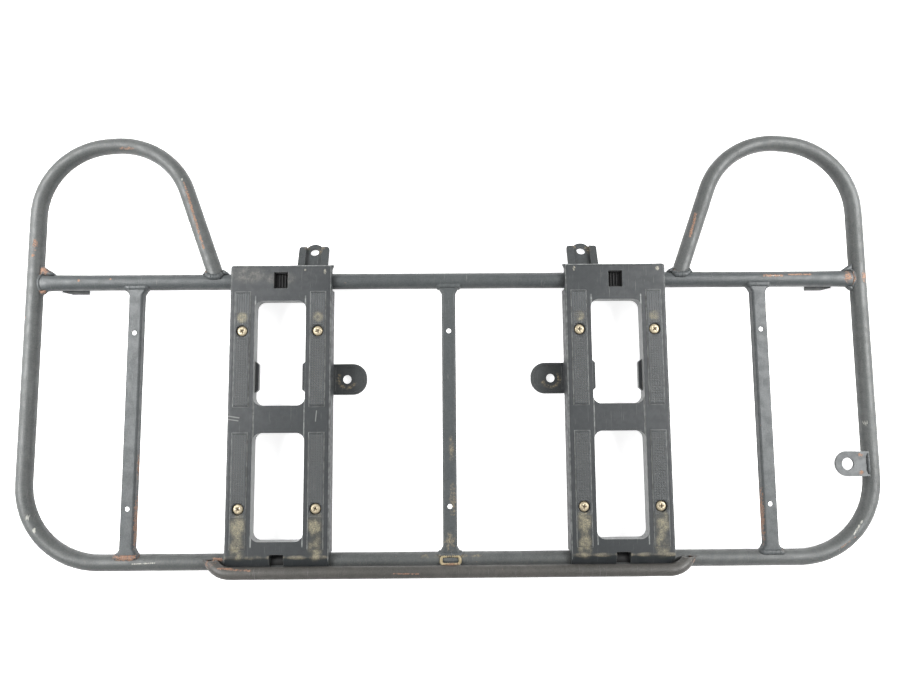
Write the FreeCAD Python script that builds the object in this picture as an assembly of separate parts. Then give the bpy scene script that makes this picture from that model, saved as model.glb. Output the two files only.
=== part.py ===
"""Rear cargo rack of a quad bike, seen as it lies with its load side up.

One long tube is bent into the outer frame: it starts at the foot of the left hoop, runs over the
hoop, down the left side, along the rear, up the right side and over the right hoop. A cross tube
with flattened ends ties the sides together, seven pressed channel bars stand between it and the
rear rail, and two moulded covers are screwed down on the four bars beside the middle one.

X runs across the rack, +Y towards the seat, +Z up, all in millimetres. The model is drawn with the
tubes' centre plane at z = 0 and the rear rail's centreline at y = 0, and is moved at the end so that
the origin is the middle of the underside of its bounding box.
"""
import FreeCAD, Part
import math
import os
from FreeCAD import Vector

# Outer frame tube
tube_d = 19.0
tube_wall = 1.8
frame_width = 1000.0        # between the centrelines of the side tubes
frame_depth = 330.0         # between the centrelines of the rear rail and the cross tube
rear_corner_r = 92.0        # bend radii are those of the centreline
hoop_bend_r = 88.0
hoop_outer_reach = 163.4    # from the cross tube to the corner over the side tube
hoop_inner_reach = 177.5    # the same, to the corner over the leg
hoop_inner_inset = 156.4    # from the side tube's centreline to the corner over the leg
hoop_foot_inset = 220.8     # and to the leg's foot

# Cross tube
cross_flare_length = 36.0   # the stretch that is squashed towards each end
cross_flare_half_w = 12.4
cross_flare_half_h = 6.2
cross_flare_steps = 4

# Joints between welded steel parts
weld_gap = 0.15

# Pressed channel bars
bar_w = 16.6
bar_h = 10.4
bar_drop = 1.25             # the flat top lies this far below the crest of the tubes
bar_sheet = 1.6
bar_fold_r = 2.6
bar_end_w = 24.0            # the flanges spread to this where they meet the tubes
bar_flare_length = 6.5
bar_hole_d = 5.6
bar_hole_spacing = 206.0
outer_bar_inset = 125.2     # from the side tube's centreline

# Moulded covers
cover_inset = 300.8         # from the side tube's centreline to the cover's middle
cover_w = 120.0
cover_wall = 3.0
cover_skirt = 25.0          # depth of the long sides below the top face
cover_front_skirt = 9.0     # depth of the sides and the front wall round the cross tube
cover_front_reach = 17.2    # past the cross tube's centreline
cover_shallow_length = 12.0 # how far before that centreline the skirt gets shallow
cover_edge_r = 3.0
cover_front_corner_r = 5.0
cover_point_length = 4.5    # the small pointed flare of the front inner corner
cover_point_reach = 2.0
cover_crease_y = 7.0        # the top face turns down here, over the rear rail
cover_slope = 19.0          # degrees
cover_lip_depth = 14.0
tube_clearance = 0.5        # between the tubes and the plastic
beam_w = 29.85              # from the cover's side to the windows
window_low_y = 25.0
window_front_margin = 26.0  # between the front window and the cross tube's centreline
window_bridge = 32.0
window_corner_r = 9.5
window_wall = 2.5
window_wall_depth = 16.0
bridge_recess = 1.1
bulge_length = 38.0         # the clip bulges inside the upper window
bulge_setback = 90.0        # from the front edge of the window to the bulges' middle
bulge_reach = 4.6
bulge_top_depth = 7.0
bulge_height = 6.0
bulge_chamfer = 4.0
cover_slot_w = 16.5         # the square hole over the cross tube and the notch over the rear rail
cover_slot_length = 19.5
cover_slot_setback = 1.4    # of the square hole's middle, behind the cross tube's centreline
cover_notch_y = 10.6
pad_w = 18.8
pad_h = 1.2
pad_bevel = 0.8
pad_gap = 30.0              # between the front and rear raised strips
pad_gap_y = 164.0
pad_front_margin = 15.0     # between the raised strips and the cross tube's centreline
rib_thickness = 2.0
rib_depth = 5.0

# Screws that hold the covers, and their nuts
screw_inset = 15.5          # from the side of a cover
screw_d = 5.0
screw_head_d = 12.0
screw_head_h = 3.0
screw_head_r = 2.4          # rounding of the head's rim
screw_tail = 3.0
screw_recess_d = 14.2
screw_recess_depth = 3.2
screw_boss_d = 15.0
screw_boss_h = 6.25
nut_flats = 8.0
nut_h = 4.0
nut_play = 0.1

# Raised bar along the rear rail
stop_d = 14.0
stop_wall = 1.6
stop_y = -8.6
stop_z = 22.5
stop_corner_margin = 3.8    # how far past the cover's side the bar starts to bend
stop_bend_r = 30.0
stop_bend = 52.0            # degrees that each end turns
stop_lean = 38.0            # degrees, the ends turn down and forward in one leaning plane
stop_end_run = 34.0
stop_end_plug = 12.0        # the bore stops this far before the end of the run
stop_trim_y = 4.5
stay_w = 24.0
stay_thickness = 7.0

# Front mounting brackets
front_mount_shift = 33.2    # from the cover's middle, towards the middle of the rack
front_mount_reach = 39.5    # past the cross tube's centreline
front_mount_z = -20.5
front_mount_slope = 22.0    # degrees, down towards the seat
front_mount_hole_d = 10.6
front_plate = 3.0
front_floor_half_w = 9.8
front_wing_half_w = 18.6
front_wing_rise = 4.5
front_wing_end = 5.0        # the wings end this far past the hole
front_lobe_r = 11.5
front_corner_r = 3.0

# Side mounting brackets
side_mount_reach = 30.2     # from the middle of the cover's inner bar
side_mount_y = 212.0
side_mount_z = -18.0
side_mount_hole_d = 10.4
side_plate = 3.0
side_plate_w = 37.6
side_tip = 24.3             # from the hole to the rounded end
side_bend_r = 5.0
side_leaf = 19.0            # the leaf that is welded under the bar
side_riser_gap = 1.5        # between the riser and the bar's flange, across
side_rim = 3.4
side_dish = 0.8

# Small tabs
stay_tab_inset = 44.0       # from the side tube's centreline
stay_tab_w = 32.0
stay_tab_plate = 3.0
stay_tab_reach = 3.0        # past the rear side of the cross tube
stay_tab_lap = 5.0          # past the crest, forward
stay_tab_taper = 12.0
side_tab_inset = 31.0       # from the side tube's centreline to the eye
side_tab_y = 107.5
side_tab_r = 14.5
side_tab_hole_d = 14.5
side_tab_plate = 3.2
side_tab_top = 8.0

# Heights and places that follow from the sizes above
tube_r = tube_d / 2
bar_top = tube_r - bar_drop
bar_bottom = bar_top - bar_h
cover_top = bar_top + screw_boss_h + cover_wall
cover_under = cover_top - cover_wall
side_x = frame_width / 2
hoop_inner_x = side_x - hoop_inner_inset
hoop_foot_x = side_x - hoop_foot_inset
outer_bar_x = side_x - outer_bar_inset
stay_tab_x = side_x - stay_tab_inset
side_tab_x = side_x - side_tab_inset
cover_x = side_x - cover_inset
screw_offset_x = cover_w / 2 - screw_inset
inner_bar_x = cover_x - screw_offset_x
cover_bar_x = cover_x + screw_offset_x
front_mount_x = cover_x - front_mount_shift
side_mount_x = inner_bar_x - side_mount_reach
stop_corner_x = cover_x + cover_w / 2 + stop_corner_margin
cover_front_y = frame_depth + cover_front_reach
cover_full_skirt_y = frame_depth - cover_shallow_length
cover_slot_y = frame_depth - cover_slot_setback
front_mount_y = frame_depth + front_mount_reach
pad_front_y = frame_depth - pad_front_margin
window_w = cover_w - 2 * beam_w
window_high_y = frame_depth - window_front_margin
bulge_y = window_high_y - bulge_setback
bar_middle_y = frame_depth / 2
hole_rows = [bar_middle_y - bar_hole_spacing / 2, bar_middle_y + bar_hole_spacing / 2]
beyond = 5.0                # how far cutting bodies run past what they cut
shortest_run = 1e-6         # bends closer together than this share one point


def rounded_corner(before, here, after, radius):
    """The two tangent points and the middle of the arc that rounds one corner."""
    back = (before - here).normalize()
    on = (after - here).normalize()
    half_angle = back.getAngle(on) / 2
    reach = radius / math.tan(half_angle)
    centre = here + (back + on).normalize() * (radius / math.sin(half_angle))
    middle = centre + (here - centre).normalize() * radius
    return here + back * reach, middle, here + on * reach


def path_edges(points, radii, closed):
    """Straight runs joined by tangent arcs. A radius of 0 keeps the corner sharp."""
    count = len(points)
    edges = []
    joints = []
    for i, here in enumerate(points):
        inside = closed or 0 < i < count - 1
        if inside and radii[i] > 0:
            joints.append(rounded_corner(points[i - 1], here, points[(i + 1) % count], radii[i]))
        else:
            joints.append((here, None, here))
    for i, (start, middle, end) in enumerate(joints):
        if middle is not None:
            edges.append(Part.Arc(start, middle, end).toShape())
        if closed or i < count - 1:
            following = joints[(i + 1) % count][0]
            if (following - end).Length > shortest_run:
                edges.append(Part.LineSegment(end, following).toShape())
    return edges


def outline_face(points, radii):
    return Part.Face(Part.Wire(path_edges(points, radii, True)))


def swept_rod(points, radii, radius):
    """A round rod along a bent path."""
    path = Part.Wire(path_edges(points, radii, False))
    section = Part.Wire([Part.Circle(points[0], points[1] - points[0], radius).toShape()])
    return path.makePipeShell([section], True, False)


def lengthened(points, start_extra, end_extra):
    """The same path with its first and last runs made longer, or shorter if negative."""
    first = points[0] + (points[0] - points[1]).normalize() * start_extra
    last = points[-1] + (points[-1] - points[-2]).normalize() * end_extra
    return [first] + points[1:-1] + [last]


def rod_between(start, end, radius):
    return Part.makeCylinder(radius, (end - start).Length, start, end - start)


def cross_cutter(y, half_length, radius, middle_x=0.0):
    """A round bar along X in the tubes' plane, to cut what meets a tube there."""
    start = Vector(middle_x - half_length, y, 0)
    return rod_between(start, start + Vector(2 * half_length, 0, 0), radius)


def mirrored(shape):
    return shape.mirror(Vector(0, 0, 0), Vector(1, 0, 0))


def box(low, high):
    size = high - low
    return Part.makeBox(size.x, size.y, size.z, low)


def outer_path():
    """Points and bend radii of the outer tube's centreline, from the left foot to the right."""
    right = [
        Vector(side_x, 0, 0),
        Vector(side_x, frame_depth + hoop_outer_reach, 0),
        Vector(hoop_inner_x, frame_depth + hoop_inner_reach, 0),
        Vector(hoop_foot_x, frame_depth, 0),
    ]
    right_radii = [rear_corner_r, hoop_bend_r, hoop_bend_r, 0]
    left = [Vector(-p.x, p.y, p.z) for p in reversed(right)]
    return left + right, right_radii[::-1] + right_radii


def outer_frame():
    points, radii = outer_path()
    outside = swept_rod(points, radii, tube_r)
    bore = swept_rod(lengthened(points, beyond, beyond), radii, tube_r - tube_wall)
    saddle_half_length = tube_d + tube_r
    frame = outside.cut(bore)
    for foot in (-hoop_foot_x, hoop_foot_x):
        frame = frame.cut(cross_cutter(frame_depth, saddle_half_length, tube_r + weld_gap, foot))
    return frame


def outer_tube_space():
    """The room that the outer tube takes, with the gap of a welded joint all round."""
    points, radii = outer_path()
    return swept_rod(points, radii, tube_r + weld_gap)


def squashed_end(shrink):
    """One end of the cross tube, lofted from round to flat. shrink takes the wall off."""
    sections = []
    unit_circle = Part.Circle(Vector(0, 0, 0), Vector(1, 0, 0), 1).toShape()
    start = side_x - cross_flare_length
    for step in range(cross_flare_steps + 1):
        share = step / cross_flare_steps
        swell = share * share
        x = start + cross_flare_length * share
        half_w = tube_r + (cross_flare_half_w - tube_r) * swell - shrink
        half_h = tube_r + (cross_flare_half_h - tube_r) * swell - shrink
        squash = FreeCAD.Matrix()
        squash.scale(1, half_w, half_h)
        squash.move(Vector(x, frame_depth, 0))
        sections.append(Part.Wire([unit_circle.transformGeometry(squash)]))
    return Part.makeLoft(sections, True, False)


def cross_tube():
    half_round = side_x - cross_flare_length
    outside = cross_cutter(frame_depth, half_round, tube_r)
    bore = cross_cutter(frame_depth, half_round, tube_r - tube_wall)
    middle = outside.cut(bore)
    right_end = squashed_end(0).cut(squashed_end(tube_wall)).cut(outer_tube_space())
    return middle.multiFuse([right_end, mirrored(right_end)]).removeSplitter()


def channel_section(y, width, top, bottom, fold_r):
    half = width / 2
    points = [
        Vector(-half, y, bottom),
        Vector(-half, y, top),
        Vector(half, y, top),
        Vector(half, y, bottom),
    ]
    return Part.Wire(path_edges(points, [0, fold_r, fold_r, 0], True))


def channel_core(inset, drop):
    """The block inside a bar's outline, from tube to tube. inset and drop leave the sheet."""
    top = bar_top - inset
    bottom = bar_bottom - drop
    fold_r = bar_fold_r - inset
    wide = bar_end_w - 2 * inset
    narrow = bar_w - 2 * inset
    neck = tube_r + bar_flare_length
    stations = [
        (0, wide),
        (tube_r, wide),
        (neck, narrow),
        (frame_depth - neck, narrow),
        (frame_depth - tube_r, wide),
        (frame_depth, wide),
    ]
    sections = [channel_section(y, width, top, bottom, fold_r) for y, width in stations]
    return Part.makeLoft(sections, True, True)


def channel_bar(x):
    """A folded channel, open below, with both ends cut to the round of the tubes they meet."""
    bar = channel_core(0, 0).cut(channel_core(bar_sheet, beyond))
    for y in (0, frame_depth):
        bar = bar.cut(cross_cutter(y, bar_end_w, tube_r + weld_gap))
    for y in hole_rows:
        bar = bar.cut(Part.makeCylinder(bar_hole_d / 2, bar_h, Vector(0, y, bar_bottom)))
    bar = bar.removeSplitter()
    bar.translate(Vector(x, 0, 0))
    return bar


def stop_bar_points(end_run):
    """Centreline of the raised rear bar, from its left end to its right end."""
    lean = math.radians(stop_lean)
    turn = math.radians(stop_bend)
    sideways = math.cos(turn) * end_run
    forward = math.sin(turn) * math.cos(lean) * end_run
    down = math.sin(turn) * math.sin(lean) * end_run
    corner = Vector(stop_corner_x, stop_y, stop_z)
    end = corner + Vector(sideways, forward, -down)
    return [Vector(-end.x, end.y, end.z), Vector(-corner.x, corner.y, corner.z), corner, end]


def rear_stop_bar():
    radii = [0, stop_bend_r, stop_bend_r, 0]
    bar = swept_rod(stop_bar_points(stop_end_run), radii, stop_d / 2)
    bore_points = stop_bar_points(stop_end_run - stop_end_plug)
    bar = bar.cut(swept_rod(bore_points, radii, stop_d / 2 - stop_wall))
    bar = bar.cut(cross_cutter(0, side_x - rear_corner_r, tube_r + weld_gap))
    reach = stop_corner_x + stop_end_run + stop_d
    trim = box(Vector(-reach, stop_trim_y, -tube_d), Vector(reach, tube_d + stop_end_run, stop_z))
    return bar.cut(trim)


def stop_bar_stay():
    """The short saddle plate between the rear rail and the raised bar."""
    upright = Vector(0, stop_y, stop_z)
    angle = math.degrees(math.atan2(-stop_y, stop_z))
    low = Vector(-stay_w / 2, -stay_thickness / 2, 0)
    plate = Part.makeBox(stay_w, stay_thickness, upright.Length, low)
    plate.rotate(Vector(0, 0, 0), Vector(1, 0, 0), angle)
    plate = plate.cut(cross_cutter(0, stay_w, tube_r + weld_gap))
    start = Vector(-stay_w, stop_y, stop_z)
    return plate.cut(rod_between(start, start + Vector(2 * stay_w, 0, 0), stop_d / 2 + weld_gap))


def cover_block(inset, drop):
    """Outer form of a cover as three profiles that cut each other. inset leaves the wall."""
    half = cover_w / 2 - inset
    top = cover_top - inset
    bottom = cover_top - cover_skirt - drop
    front = cover_front_y - inset
    edge_r = max(cover_edge_r - inset, 0)
    across = outline_face(
        [Vector(-half, 0, bottom), Vector(-half, 0, top), Vector(half, 0, top), Vector(half, 0, bottom)],
        [0, edge_r, edge_r, 0])
    slope = math.radians(cover_slope)
    rear = -(tube_r + tube_clearance + cover_wall - inset)
    crease = cover_crease_y - inset * math.tan(slope / 2)
    slope_end = top - (crease - rear) * math.tan(slope)
    along = outline_face(
        [Vector(0, rear, bottom), Vector(0, rear, slope_end), Vector(0, crease, top),
         Vector(0, front, top), Vector(0, front, bottom)],
        [0, edge_r, cover_edge_r, edge_r, 0])
    corner_r = max(cover_front_corner_r - inset, 0)
    plan = outline_face(
        [Vector(-half, rear, bottom), Vector(half, rear, bottom),
         Vector(half, front, bottom), Vector(-half, front, bottom)],
        [corner_r, corner_r, corner_r, 0])
    length = front - rear
    across.translate(Vector(0, rear, 0))
    along.translate(Vector(-half, 0, 0))
    block = across.extrude(Vector(0, length, 0))
    block = block.common(along.extrude(Vector(2 * half, 0, 0)))
    return block.common(plan.extrude(Vector(0, 0, top - bottom)))


def window_spans():
    middle = (window_low_y + window_high_y) / 2
    return [(window_low_y, middle - window_bridge / 2), (middle + window_bridge / 2, window_high_y)]


def window_block(low_y, high_y, grow, low_z, high_z):
    half = window_w / 2 + grow
    points = [
        Vector(-half, low_y - grow, low_z),
        Vector(half, low_y - grow, low_z),
        Vector(half, high_y + grow, low_z),
        Vector(-half, high_y + grow, low_z),
    ]
    face = outline_face(points, [window_corner_r + grow] * 4)
    return face.extrude(Vector(0, 0, high_z - low_z))


def clip_bulge():
    """The bulge on the +X wall of the upper window, chamfered at both ends."""
    wall = window_w / 2
    low_z = cover_top - bulge_top_depth - bulge_height
    half = bulge_length / 2
    root = wall + window_wall / 2
    points = [
        Vector(root, bulge_y - half, low_z),
        Vector(wall, bulge_y - half, low_z),
        Vector(wall - bulge_reach, bulge_y - half + bulge_chamfer, low_z),
        Vector(wall - bulge_reach, bulge_y + half - bulge_chamfer, low_z),
        Vector(wall, bulge_y + half, low_z),
        Vector(root, bulge_y + half, low_z),
    ]
    return outline_face(points, [0] * 6).extrude(Vector(0, 0, bulge_height))


def raised_pad(x, low_y, high_y):
    """A raised strip with bevelled edges, which takes the knurling of the load surface."""
    root = cover_wall / 2
    base_z = cover_top - root
    edges = []
    for z, inset in ((base_z, 0), (cover_top + pad_h - pad_bevel, 0), (cover_top + pad_h, pad_bevel)):
        half = pad_w / 2 - inset
        points = [
            Vector(x - half, low_y + inset, z),
            Vector(x + half, low_y + inset, z),
            Vector(x + half, high_y - inset, z),
            Vector(x - half, high_y - inset, z),
        ]
        edges.append(Part.Wire(path_edges(points, [0] * 4, True)))
    return Part.makeLoft(edges, True, True)


def cover_pads():
    pads = []
    pad_rear_y = cover_crease_y + pad_w / 2
    spans = [(pad_rear_y, pad_gap_y - pad_gap / 2), (pad_gap_y + pad_gap / 2, pad_front_y)]
    for x in (-screw_offset_x, screw_offset_x):
        for low_y, high_y in spans:
            pads.append(raised_pad(x, low_y, high_y))
    return pads


def cover_ribs():
    """Stiffening ribs under the front web, the bridge and the rear web."""
    half = window_w / 2 + window_wall
    low, high = window_spans()
    rows = [low[0] - window_wall - rib_thickness, (low[1] + high[0]) / 2,
            high[1] + window_wall + rib_thickness]
    ribs = []
    for y in rows:
        corner = Vector(-half, y - rib_thickness / 2, cover_under - rib_depth)
        ribs.append(Part.makeBox(2 * half, rib_thickness, rib_depth + cover_wall / 2, corner))
    return ribs


def front_point():
    """The small pointed flare at the front inner corner of a cover."""
    half = cover_w / 2
    low_z = cover_top - cover_front_skirt
    points = [
        Vector(-half + cover_wall, cover_front_y, low_z),
        Vector(-half - cover_point_reach, cover_front_y, low_z),
        Vector(-half, cover_front_y - cover_point_length, low_z),
        Vector(-half + cover_wall, cover_front_y - cover_point_length, low_z),
    ]
    return outline_face(points, [0] * 4).extrude(Vector(0, 0, cover_front_skirt - cover_edge_r))


def tube_slot(y, radius):
    """Room for a tube that crosses the cover, open downwards."""
    half_length = cover_w / 2 + beyond
    low = Vector(-half_length, y - radius, -cover_skirt - beyond)
    below = box(low, Vector(half_length, y + radius, 0))
    return cross_cutter(y, half_length, radius).fuse(below)


def cover():
    """The right cover. Its inner side faces the middle of the rack, towards -X."""
    half = cover_w / 2
    shell = cover_block(0, 0).cut(cover_block(cover_wall, beyond))
    front_low = Vector(-half - beyond, cover_full_skirt_y, cover_top - cover_skirt - beyond)
    front_high = Vector(half + beyond, cover_front_y + beyond, cover_top - cover_front_skirt)
    shell = shell.cut(box(front_low, front_high))
    lip_low = Vector(-half - beyond, -tube_d - beyond, cover_top - cover_skirt - beyond)
    lip_high = Vector(half + beyond, -tube_r, cover_top - cover_wall - cover_lip_depth)
    shell = shell.cut(box(lip_low, lip_high))
    additions = [front_point()] + cover_pads() + cover_ribs()
    wall_low = cover_top - window_wall_depth
    for low_y, high_y in window_spans():
        wall_top = cover_top - cover_wall / 2
        additions.append(window_block(low_y, high_y, window_wall, wall_low, wall_top))
    screw_points = [(x, y) for x in (-screw_offset_x, screw_offset_x) for y in hole_rows]
    for x, y in screw_points:
        boss = Part.makeCylinder(screw_boss_d / 2, screw_boss_h + cover_wall / 2,
                                 Vector(x, y, bar_top))
        additions.append(boss)
    shell = shell.multiFuse(additions)
    cuts = []
    for low_y, high_y in window_spans():
        cuts.append(window_block(low_y, high_y, 0, wall_low - beyond, cover_top + beyond))
    low, high = window_spans()
    cuts.append(box(Vector(-window_w / 2, low[1] - window_corner_r, cover_top - bridge_recess),
                    Vector(window_w / 2, high[0] + window_corner_r, cover_top + beyond)))
    slot_half = cover_slot_w / 2
    cuts.append(box(Vector(-slot_half, cover_slot_y - cover_slot_length / 2, cover_under - beyond),
                    Vector(slot_half, cover_slot_y + cover_slot_length / 2, cover_top + beyond)))
    cuts.append(box(Vector(-slot_half, -tube_d, cover_top - cover_skirt - beyond),
                    Vector(slot_half, cover_notch_y, cover_top + beyond)))
    for y in (0, frame_depth):
        cuts.append(tube_slot(y, tube_r + tube_clearance))
    recess_floor = cover_top + pad_h - screw_recess_depth
    for x, y in screw_points:
        cuts.append(Part.makeCylinder(screw_recess_d / 2, beyond + screw_recess_depth,
                                      Vector(x, y, recess_floor)))
        cuts.append(Part.makeCylinder(bar_hole_d / 2, cover_skirt, Vector(x, y, bar_bottom)))
    shell = shell.cut(Part.makeCompound(cuts))
    bulge = clip_bulge()
    shell = shell.multiFuse([bulge, mirrored(bulge)]).removeSplitter()
    shell.translate(Vector(cover_x, 0, 0))
    return shell


def cover_screw():
    """A pan head on a plain shank. The head stands on z = 0 and the shank hangs below."""
    head_r = screw_head_d / 2
    grip = cover_top + pad_h - screw_recess_depth - bar_top
    length = grip + bar_sheet + nut_h + screw_tail
    profile = [
        Vector(0, 0, -length),
        Vector(screw_d / 2, 0, -length),
        Vector(screw_d / 2, 0, 0),
        Vector(head_r, 0, 0),
        Vector(head_r, 0, screw_head_h),
        Vector(0, 0, screw_head_h),
    ]
    face = outline_face(profile, [0, 0, 0, 0, screw_head_r, 0])
    return face.revolve(Vector(0, 0, 0), Vector(0, 0, 1), 360)


def hexagon_nut():
    """A hexagon nut with its top face on z = 0."""
    corner_r = nut_flats / math.sqrt(3)
    points = []
    for side in range(6):
        angle = math.radians(60 * side)
        points.append(Vector(corner_r * math.cos(angle), corner_r * math.sin(angle), -nut_h))
    body = outline_face(points, [0] * 6).extrude(Vector(0, 0, nut_h))
    return body.cut(Part.makeCylinder(screw_d / 2 + nut_play, nut_h, Vector(0, 0, -nut_h)))


def at_screw_places(piece, z):
    """Copies of a piece at the four screws of the right cover, as one group."""
    copies = []
    for x in (inner_bar_x, cover_bar_x):
        for y in hole_rows:
            placed = piece.copy()
            placed.translate(Vector(x, y, z))
            copies.append(placed)
    return Part.makeCompound(copies)


def front_bracket():
    """The right front bracket: a hat section with a round lobe, coped against the cross tube."""
    floor = front_floor_half_w
    web = floor + front_plate
    wing = front_wing_half_w
    rise = front_wing_rise
    back = front_mount_y - frame_depth + tube_d
    section = [
        Vector(-wing, -back, rise),
        Vector(-wing, -back, rise + front_plate),
        Vector(-floor, -back, rise + front_plate),
        Vector(-floor, -back, front_plate),
        Vector(floor, -back, front_plate),
        Vector(floor, -back, rise + front_plate),
        Vector(wing, -back, rise + front_plate),
        Vector(wing, -back, rise),
        Vector(web, -back, rise),
        Vector(web, -back, 0),
        Vector(-web, -back, 0),
        Vector(-web, -back, rise),
    ]
    full_length = back + front_lobe_r + beyond
    plate = outline_face(section, [0] * len(section)).extrude(Vector(0, full_length, 0))
    wings = outline_face(
        [Vector(-wing, -back, 0), Vector(wing, -back, 0), Vector(wing, front_wing_end, 0),
         Vector(-wing, front_wing_end, 0)],
        [0, 0, front_corner_r, front_corner_r])
    height = rise + front_plate
    lobe = Part.makeCylinder(front_lobe_r, height)
    plate = plate.common(wings.extrude(Vector(0, 0, height)).fuse(lobe))
    plate = plate.cut(Part.makeCylinder(front_mount_hole_d / 2, height))
    plate.rotate(Vector(0, 0, 0), Vector(1, 0, 0), -front_mount_slope)
    plate.translate(Vector(front_mount_x, front_mount_y, front_mount_z))
    cope_r = tube_r + weld_gap
    plate = plate.cut(cross_cutter(frame_depth, tube_d * 2, cope_r, front_mount_x))
    behind = box(Vector(front_mount_x - 2 * wing, frame_depth - 3 * tube_d, -3 * tube_d),
                 Vector(front_mount_x + 2 * wing, frame_depth, 3 * tube_d))
    return plate.cut(behind).removeSplitter()


def side_bracket():
    """The right side bracket: a folded strip with a dished, rounded end towards the middle."""
    mid = side_plate / 2
    leaf_z = bar_bottom - weld_gap - mid
    riser_x = inner_bar_x - bar_w / 2 - side_riser_gap
    tip_x = side_mount_x - side_tip
    middle_y = side_mount_y
    path = [
        Vector(riser_x + side_leaf, middle_y, leaf_z),
        Vector(riser_x, middle_y, leaf_z),
        Vector(riser_x, middle_y, side_mount_z - mid),
        Vector(tip_x, middle_y, side_mount_z - mid),
    ]
    wire = Part.Wire(path_edges(path, [0, side_bend_r, side_bend_r, 0], False))
    half = side_plate_w / 2
    start = path[0]
    section = Part.Wire(path_edges(
        [start + Vector(0, -half, -mid), start + Vector(0, half, -mid),
         start + Vector(0, half, mid), start + Vector(0, -half, mid)], [0] * 4, True))
    strip = wire.makePipeShell([section], True, False)
    low_z = side_mount_z - side_plate - beyond
    outline = outline_face(
        [Vector(tip_x, middle_y - half, low_z),
         Vector(riser_x + side_leaf + beyond, middle_y - half, low_z),
         Vector(riser_x + side_leaf + beyond, middle_y + half, low_z),
         Vector(tip_x, middle_y + half, low_z)],
        [half - mid, 0, 0, half - mid])
    strip = strip.common(outline.extrude(Vector(0, 0, bar_top - low_z)))
    dish_half = half - side_rim
    dish_root = riser_x - side_bend_r - mid
    dish = outline_face(
        [Vector(tip_x + side_rim, middle_y - dish_half, side_mount_z - side_dish),
         Vector(dish_root, middle_y - dish_half, side_mount_z - side_dish),
         Vector(dish_root, middle_y + dish_half, side_mount_z - side_dish),
         Vector(tip_x + side_rim, middle_y + dish_half, side_mount_z - side_dish)],
        [dish_half - mid, mid, mid, dish_half - mid])
    strip = strip.cut(dish.extrude(Vector(0, 0, side_plate)))
    hole = Part.makeCylinder(side_mount_hole_d / 2, 4 * side_plate,
                             Vector(side_mount_x, side_mount_y, side_mount_z - 2 * side_plate))
    return strip.cut(hole)


def stay_tab():
    """The right tapered tab under the cross tube, near the side tube."""
    top = -tube_r - weld_gap
    half = stay_tab_w / 2
    rear = frame_depth - tube_r - stay_tab_reach
    front = frame_depth + stay_tab_lap
    low_z = top - stay_tab_plate
    points = [
        Vector(stay_tab_x - half, rear, low_z),
        Vector(stay_tab_x + half - stay_tab_taper, rear, low_z),
        Vector(stay_tab_x + half, rear + stay_tab_reach, low_z),
        Vector(stay_tab_x + half, front, low_z),
        Vector(stay_tab_x - half, front, low_z),
    ]
    return outline_face(points, [0] * 5).extrude(Vector(0, 0, stay_tab_plate))


def side_tab():
    """The flat eye on the inner side of the right side tube."""
    low_z = side_tab_top - side_tab_plate
    tip_x = side_tab_x - side_tab_r
    points = [
        Vector(tip_x, side_tab_y - side_tab_r, low_z),
        Vector(side_x, side_tab_y - side_tab_r, low_z),
        Vector(side_x, side_tab_y + side_tab_r, low_z),
        Vector(tip_x, side_tab_y + side_tab_r, low_z),
    ]
    outline = outline_face(points, [side_tab_r, 0, 0, side_tab_r])
    plate = outline.extrude(Vector(0, 0, side_tab_plate))
    hole = Part.makeCylinder(side_tab_hole_d / 2, side_tab_plate,
                             Vector(side_tab_x, side_tab_y, low_z))
    return plate.cut(hole).cut(outer_tube_space())


def pieces():
    """Every piece by its node's name."""
    made = {"outer_frame_tube": outer_frame(), "cross_tube": cross_tube()}
    for name, x in (("outer_bar", outer_bar_x), ("cover_outer_bar", cover_bar_x),
                    ("cover_inner_bar", inner_bar_x)):
        made["right_" + name] = channel_bar(x)
        made["left_" + name] = channel_bar(-x)
    made["centre_bar"] = channel_bar(0)
    made["rear_stop_bar"] = rear_stop_bar()
    made["stop_bar_stay"] = stop_bar_stay()
    head_z = cover_top + pad_h - screw_recess_depth
    pairs = {
        "cover": cover(),
        "cover_screws": at_screw_places(cover_screw(), head_z),
        "cover_nuts": at_screw_places(hexagon_nut(), bar_top - bar_sheet),
        "front_bracket": front_bracket(),
        "side_bracket": side_bracket(),
        "stay_tab": stay_tab(),
    }
    for name, shape in pairs.items():
        made["right_" + name] = shape
        made["left_" + name] = mirrored(shape)
    made["right_side_tab"] = side_tab()
    return made


def main():
    os.makedirs("parts", exist_ok=True)
    made = pieces()
    whole = Part.makeCompound(list(made.values())).optimalBoundingBox(False)
    to_origin = Vector(-whole.Center.x, -whole.Center.y, -whole.ZMin)
    for name, shape in made.items():
        shape.translate(to_origin)
        shape.exportStep("parts/" + name + ".step")


main()
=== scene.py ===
"""Looks of a quad bike's rear cargo rack, seen from above with its load side up.

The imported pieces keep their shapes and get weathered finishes. Added here are the weld seams, the
knurling of the covers' raised strips and the cross-recessed screws. Places on the rack are given in
millimetres from the middle of the rear rail's centreline: x to the right, y towards the seat, z up.
"""
import math

import bmesh
import bpy
from mathutils import Matrix, Vector, noise


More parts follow.
